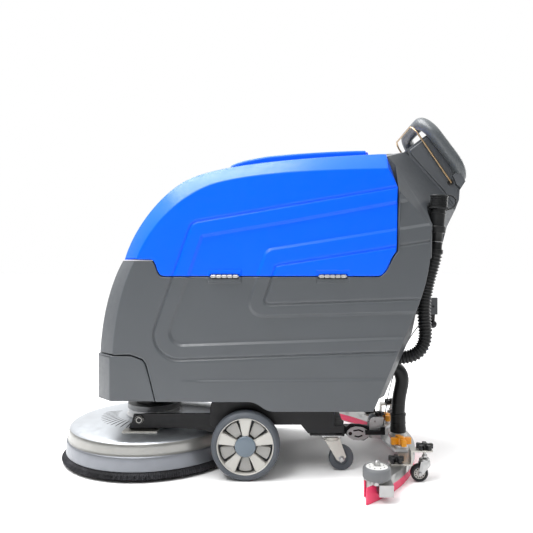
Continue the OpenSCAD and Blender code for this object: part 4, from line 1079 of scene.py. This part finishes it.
def console_details():
    """Display, switch bezels and screws of the control panel, and the bail's pivot bosses."""
    Shape().box((-51.4, -51.4, -3.2), (-2.6, 51.4, -2)).placed(on_panel()).piece("display_glass",
        "display_glass", "machine", slot="black_plastic", bevel=0.4)
    bars = Shape()
    for k in range(6):
        bars.box((-17, -42 + 9.4 * k, -2.2), (-10, -35 + 9.4 * k, -1.8))
    bars.box((-46, -42, -2.2), (-24, 42, -1.85))
    bars.placed(on_panel()).piece("display_marks", "display_grey", "machine", slot="black_plastic")
    bezels = Shape()
    for y, r in ((-60, 9.6), (10, 8.9), (50, 8.9)):
        bezels.lathe([(r, -1.2), (r + 4, -1.2), (r + 4, 0.2), (r + 3, 1.4), (r + 0.6, 1.4), (r, 0.8)],
            (30, y, 0), n=48)
    for x in (-58, 58):
        for y in (-93, 0, 93):
            bezels.lathe([(0, -1.2), (3.4, -1.2), (3.4, 0), (2.4, 1.1), (1.2, 1.1), (1.2, 0.2), (0, 0.2)],
                (x, y, 0), n=24)
    bezels.placed(on_panel()).piece("panel_bezels", "steel", "machine", slot="black_plastic", angle=30)
    rim = Shape()
    for low, high in (((-64, -99.4), (64, -97)), ((-64, 97), (64, 99.4)), ((-64, -97), (-61.6, 97)),
            ((61.6, -97), (64, 97))):
        rim.box((*low, -1.2), (*high, 1.0))
    rim.placed(on_panel()).piece("panel_rim", "console_plastic", "machine", slot="dark_plastic", bevel=0.6)
    cheeks = Shape()
    cheek = [(471, 965), (464, 981), (514, 1017.5), (532, 1027), (630, 886), (613.5, 858), (611, 828),
        (603.5, 808), (572, 853)]
    for t in (-1, 1):
        cheeks.prism(cheek, min(t * 120, t * 129.6), max(t * 120, t * 129.6), "Y")
    cheeks.piece("console_cheeks", "console_plastic", "machine", slot="dark_plastic", bevel=4.0, segments=3)
    bosses = Shape()
    for t in (-1, 1):
        bosses.lathe([(3.4, 0), (11, 0), (11, 3), (9.4, 5.4), (6.2, 6.6), (3.4, 6.6)], (591, t * 124.6, 879),
            (0, t, 0), n=40)
    bosses.piece("bail_bosses", "black_plastic", "machine", slot="black_plastic", angle=30)


def squeegee_details():
    """Grey side plates with their slots, and the bolts of the bracket."""
    oval = [(278, 66), (284, 54), (298, 46), (318, 43), (336, 46), (350, 56), (352, 66), (346, 78), (330, 86),
        (308, 89), (290, 84), (280, 75)]
    Shape().prism(oval, -30.5, -26.6, "Y").piece("arm_plate", "plate_grey", "squeegee_arm", slot="grey_metal",
        bevel=0.8)
    # Black tubes on the oval plate stand in for its slots: painted shade.
    slots = Shape()
    slots.tube([(300, -30.6, 75), (318, -30.6, 78), (332, -30.6, 72)], 2.6, n=10)
    slots.tube([(304, -30.6, 58), (316, -30.6, 55), (330, -30.6, 60)], 2.6, n=10)
    slots.disc(6.5, 1.2, (290, -30.4, 66), (0, -1, 0), n=6)
    slots.piece("arm_slot_shade", "black_plastic", "squeegee_arm", slot="black_plastic", angle=60)
    side = [(352, 62), (354, 98), (359, 114), (366, 118), (399, 118), (404, 110), (410, 78), (418, 58),
        (414, 50), (400, 46), (372, 46)]
    plates = Shape()
    for y in (-23.2, 19.6):
        plates.prism(side, y, y + 3.4, "Y")
    plates.piece("bracket_sides", "plate_grey", "squeegee", slot="grey_metal", bevel=0.8)
    bolts = Shape()
    bolts.head(4, 2.6, 3.2, 3.4, (386, -23.4, 80), (0, -1, 0))
    bolts.head(3.4, 2.4, 2.6, 3, (372, -23.4, 104), (0, -1, 0))
    bolts.piece("bracket_bolts", "steel", "squeegee", slot="steel", bevel=0.4)


def lift_cable():
    """Wire rope between the lever and the squeegee's arm."""
    route = [(396, -40, 92), (404, -40, 140), (412, -40, 188), (424, -41, 240), (440, -43, 290),
        (460, -46, 340), (486, -50, 390), (515, -54, 430), (538, -57, 452)]
    blended(Shape().tube(smooth_path(route, 4)[0], 1.5, n=12), "cable", "black_plastic", "steel",
        "squeegee_arm", "machine", (398, -40, 100), (430, -42, 262), nodes=["lift_cable"])


def hinge_leaves():
    """Rolled knuckles of the tank hinges, standing in their slots, and the lid's pins."""
    knuckle = [(2.1, 1), (4.4, 1), (5, 1.6), (5, 13.2), (4.4, 13.8), (2.1, 13.8)]
    low_leaf, high_leaf = Shape(), Shape()
    for x in (-137, 174):
        for k in range(5):
            leaf, foot = (high_leaf, 591) if k % 2 else (low_leaf, HINGE_Z - 16)
            a = x + k * 15.8
            leaf.lathe(knuckle, (a, HINGE_Y, HINGE_Z), (1, 0, 0), n=28)
            leaf.box((a, -265.4, foot), (a + 15, -263, foot + 14))
        low_leaf.disc(2, 81.5, (x - 1.5, HINGE_Y, HINGE_Z), (1, 0, 0), n=20)
    for s in (-1, 1):
        high_leaf.disc(2, 28, (329, s * 106, 967.5), (0, s, 0))
    low_leaf.piece("hinge_low", "hinge_steel", "machine", slot="steel", nodes=["lower_hinges"], angle=30)
    high_leaf.piece("hinge_high", "hinge_steel", "recovery", slot="steel", nodes=["upper_hinges"], angle=30)


# ---------------------------------------------------------------- build
make_materials()
make_camera()
make_studio()
SLOT_OF = {row["node"]: row["material_slot"] for row in frame["record"]["subparts"]}
LOOK = {"console_housing": "console_plastic", "caster_fork_left": "caster_steel",
    "caster_fork_right": "caster_steel", "lift_lever": "black_plastic", "suction_port": "clear_white",
    "caster_brackets": "caster_steel", "squeegee_bracket": "plate_grey"}
SOFTNESS = {"console_housing": 5.5, "rear_cover": 2.0, "handle_loop": 0.4, "chassis": 1.2,
    "squeegee_body": 0.8, "solution_tank": 1.2, "recovery_tank": 1.5, "front_cover": 1.0}
for node in NODES:
    soften(node, LOOK.get(node, SLOT_OF[node]), SOFTNESS.get(node, 0.7))
for build in (blue_shell, grey_shell, cover_shell, tank_lid, deck_shell, deck_fittings, deck_louvre_shade,
        deck_skirt, brush, drain_hose, suction_hose, squeegee_details, lift_cable, hinge_leaves,
        caster_brackets, console_details):
    build()
for side, s in SIDES:
    for build in (wheel, caster, roller, small_caster):
        build(side, s)
    y = s * SMALL_CASTER[1]
    star_knob("height_star_" + side, "height_knob_" + side, "height_knob_" + side, (SMALL_CASTER[0], y, 93.5),
        5, 20, 6.2, 17)
    star_knob("fixing_star_" + side, "squeegee", None, (FIXING_X, y, 57), 5, 18, 5.8, 17)
    star_knob("wing_star_" + side, "wing_knob_" + side, "wing_knob_" + side, (WING[0], s * WING[1], 66.6), 4,
        26, 8.4, 24, "orange_plastic", 12)
star_knob("pitch_star", "pitch_knob", "pitch_knob", (391, 0, 118.6), 5, 12, 5, 14)
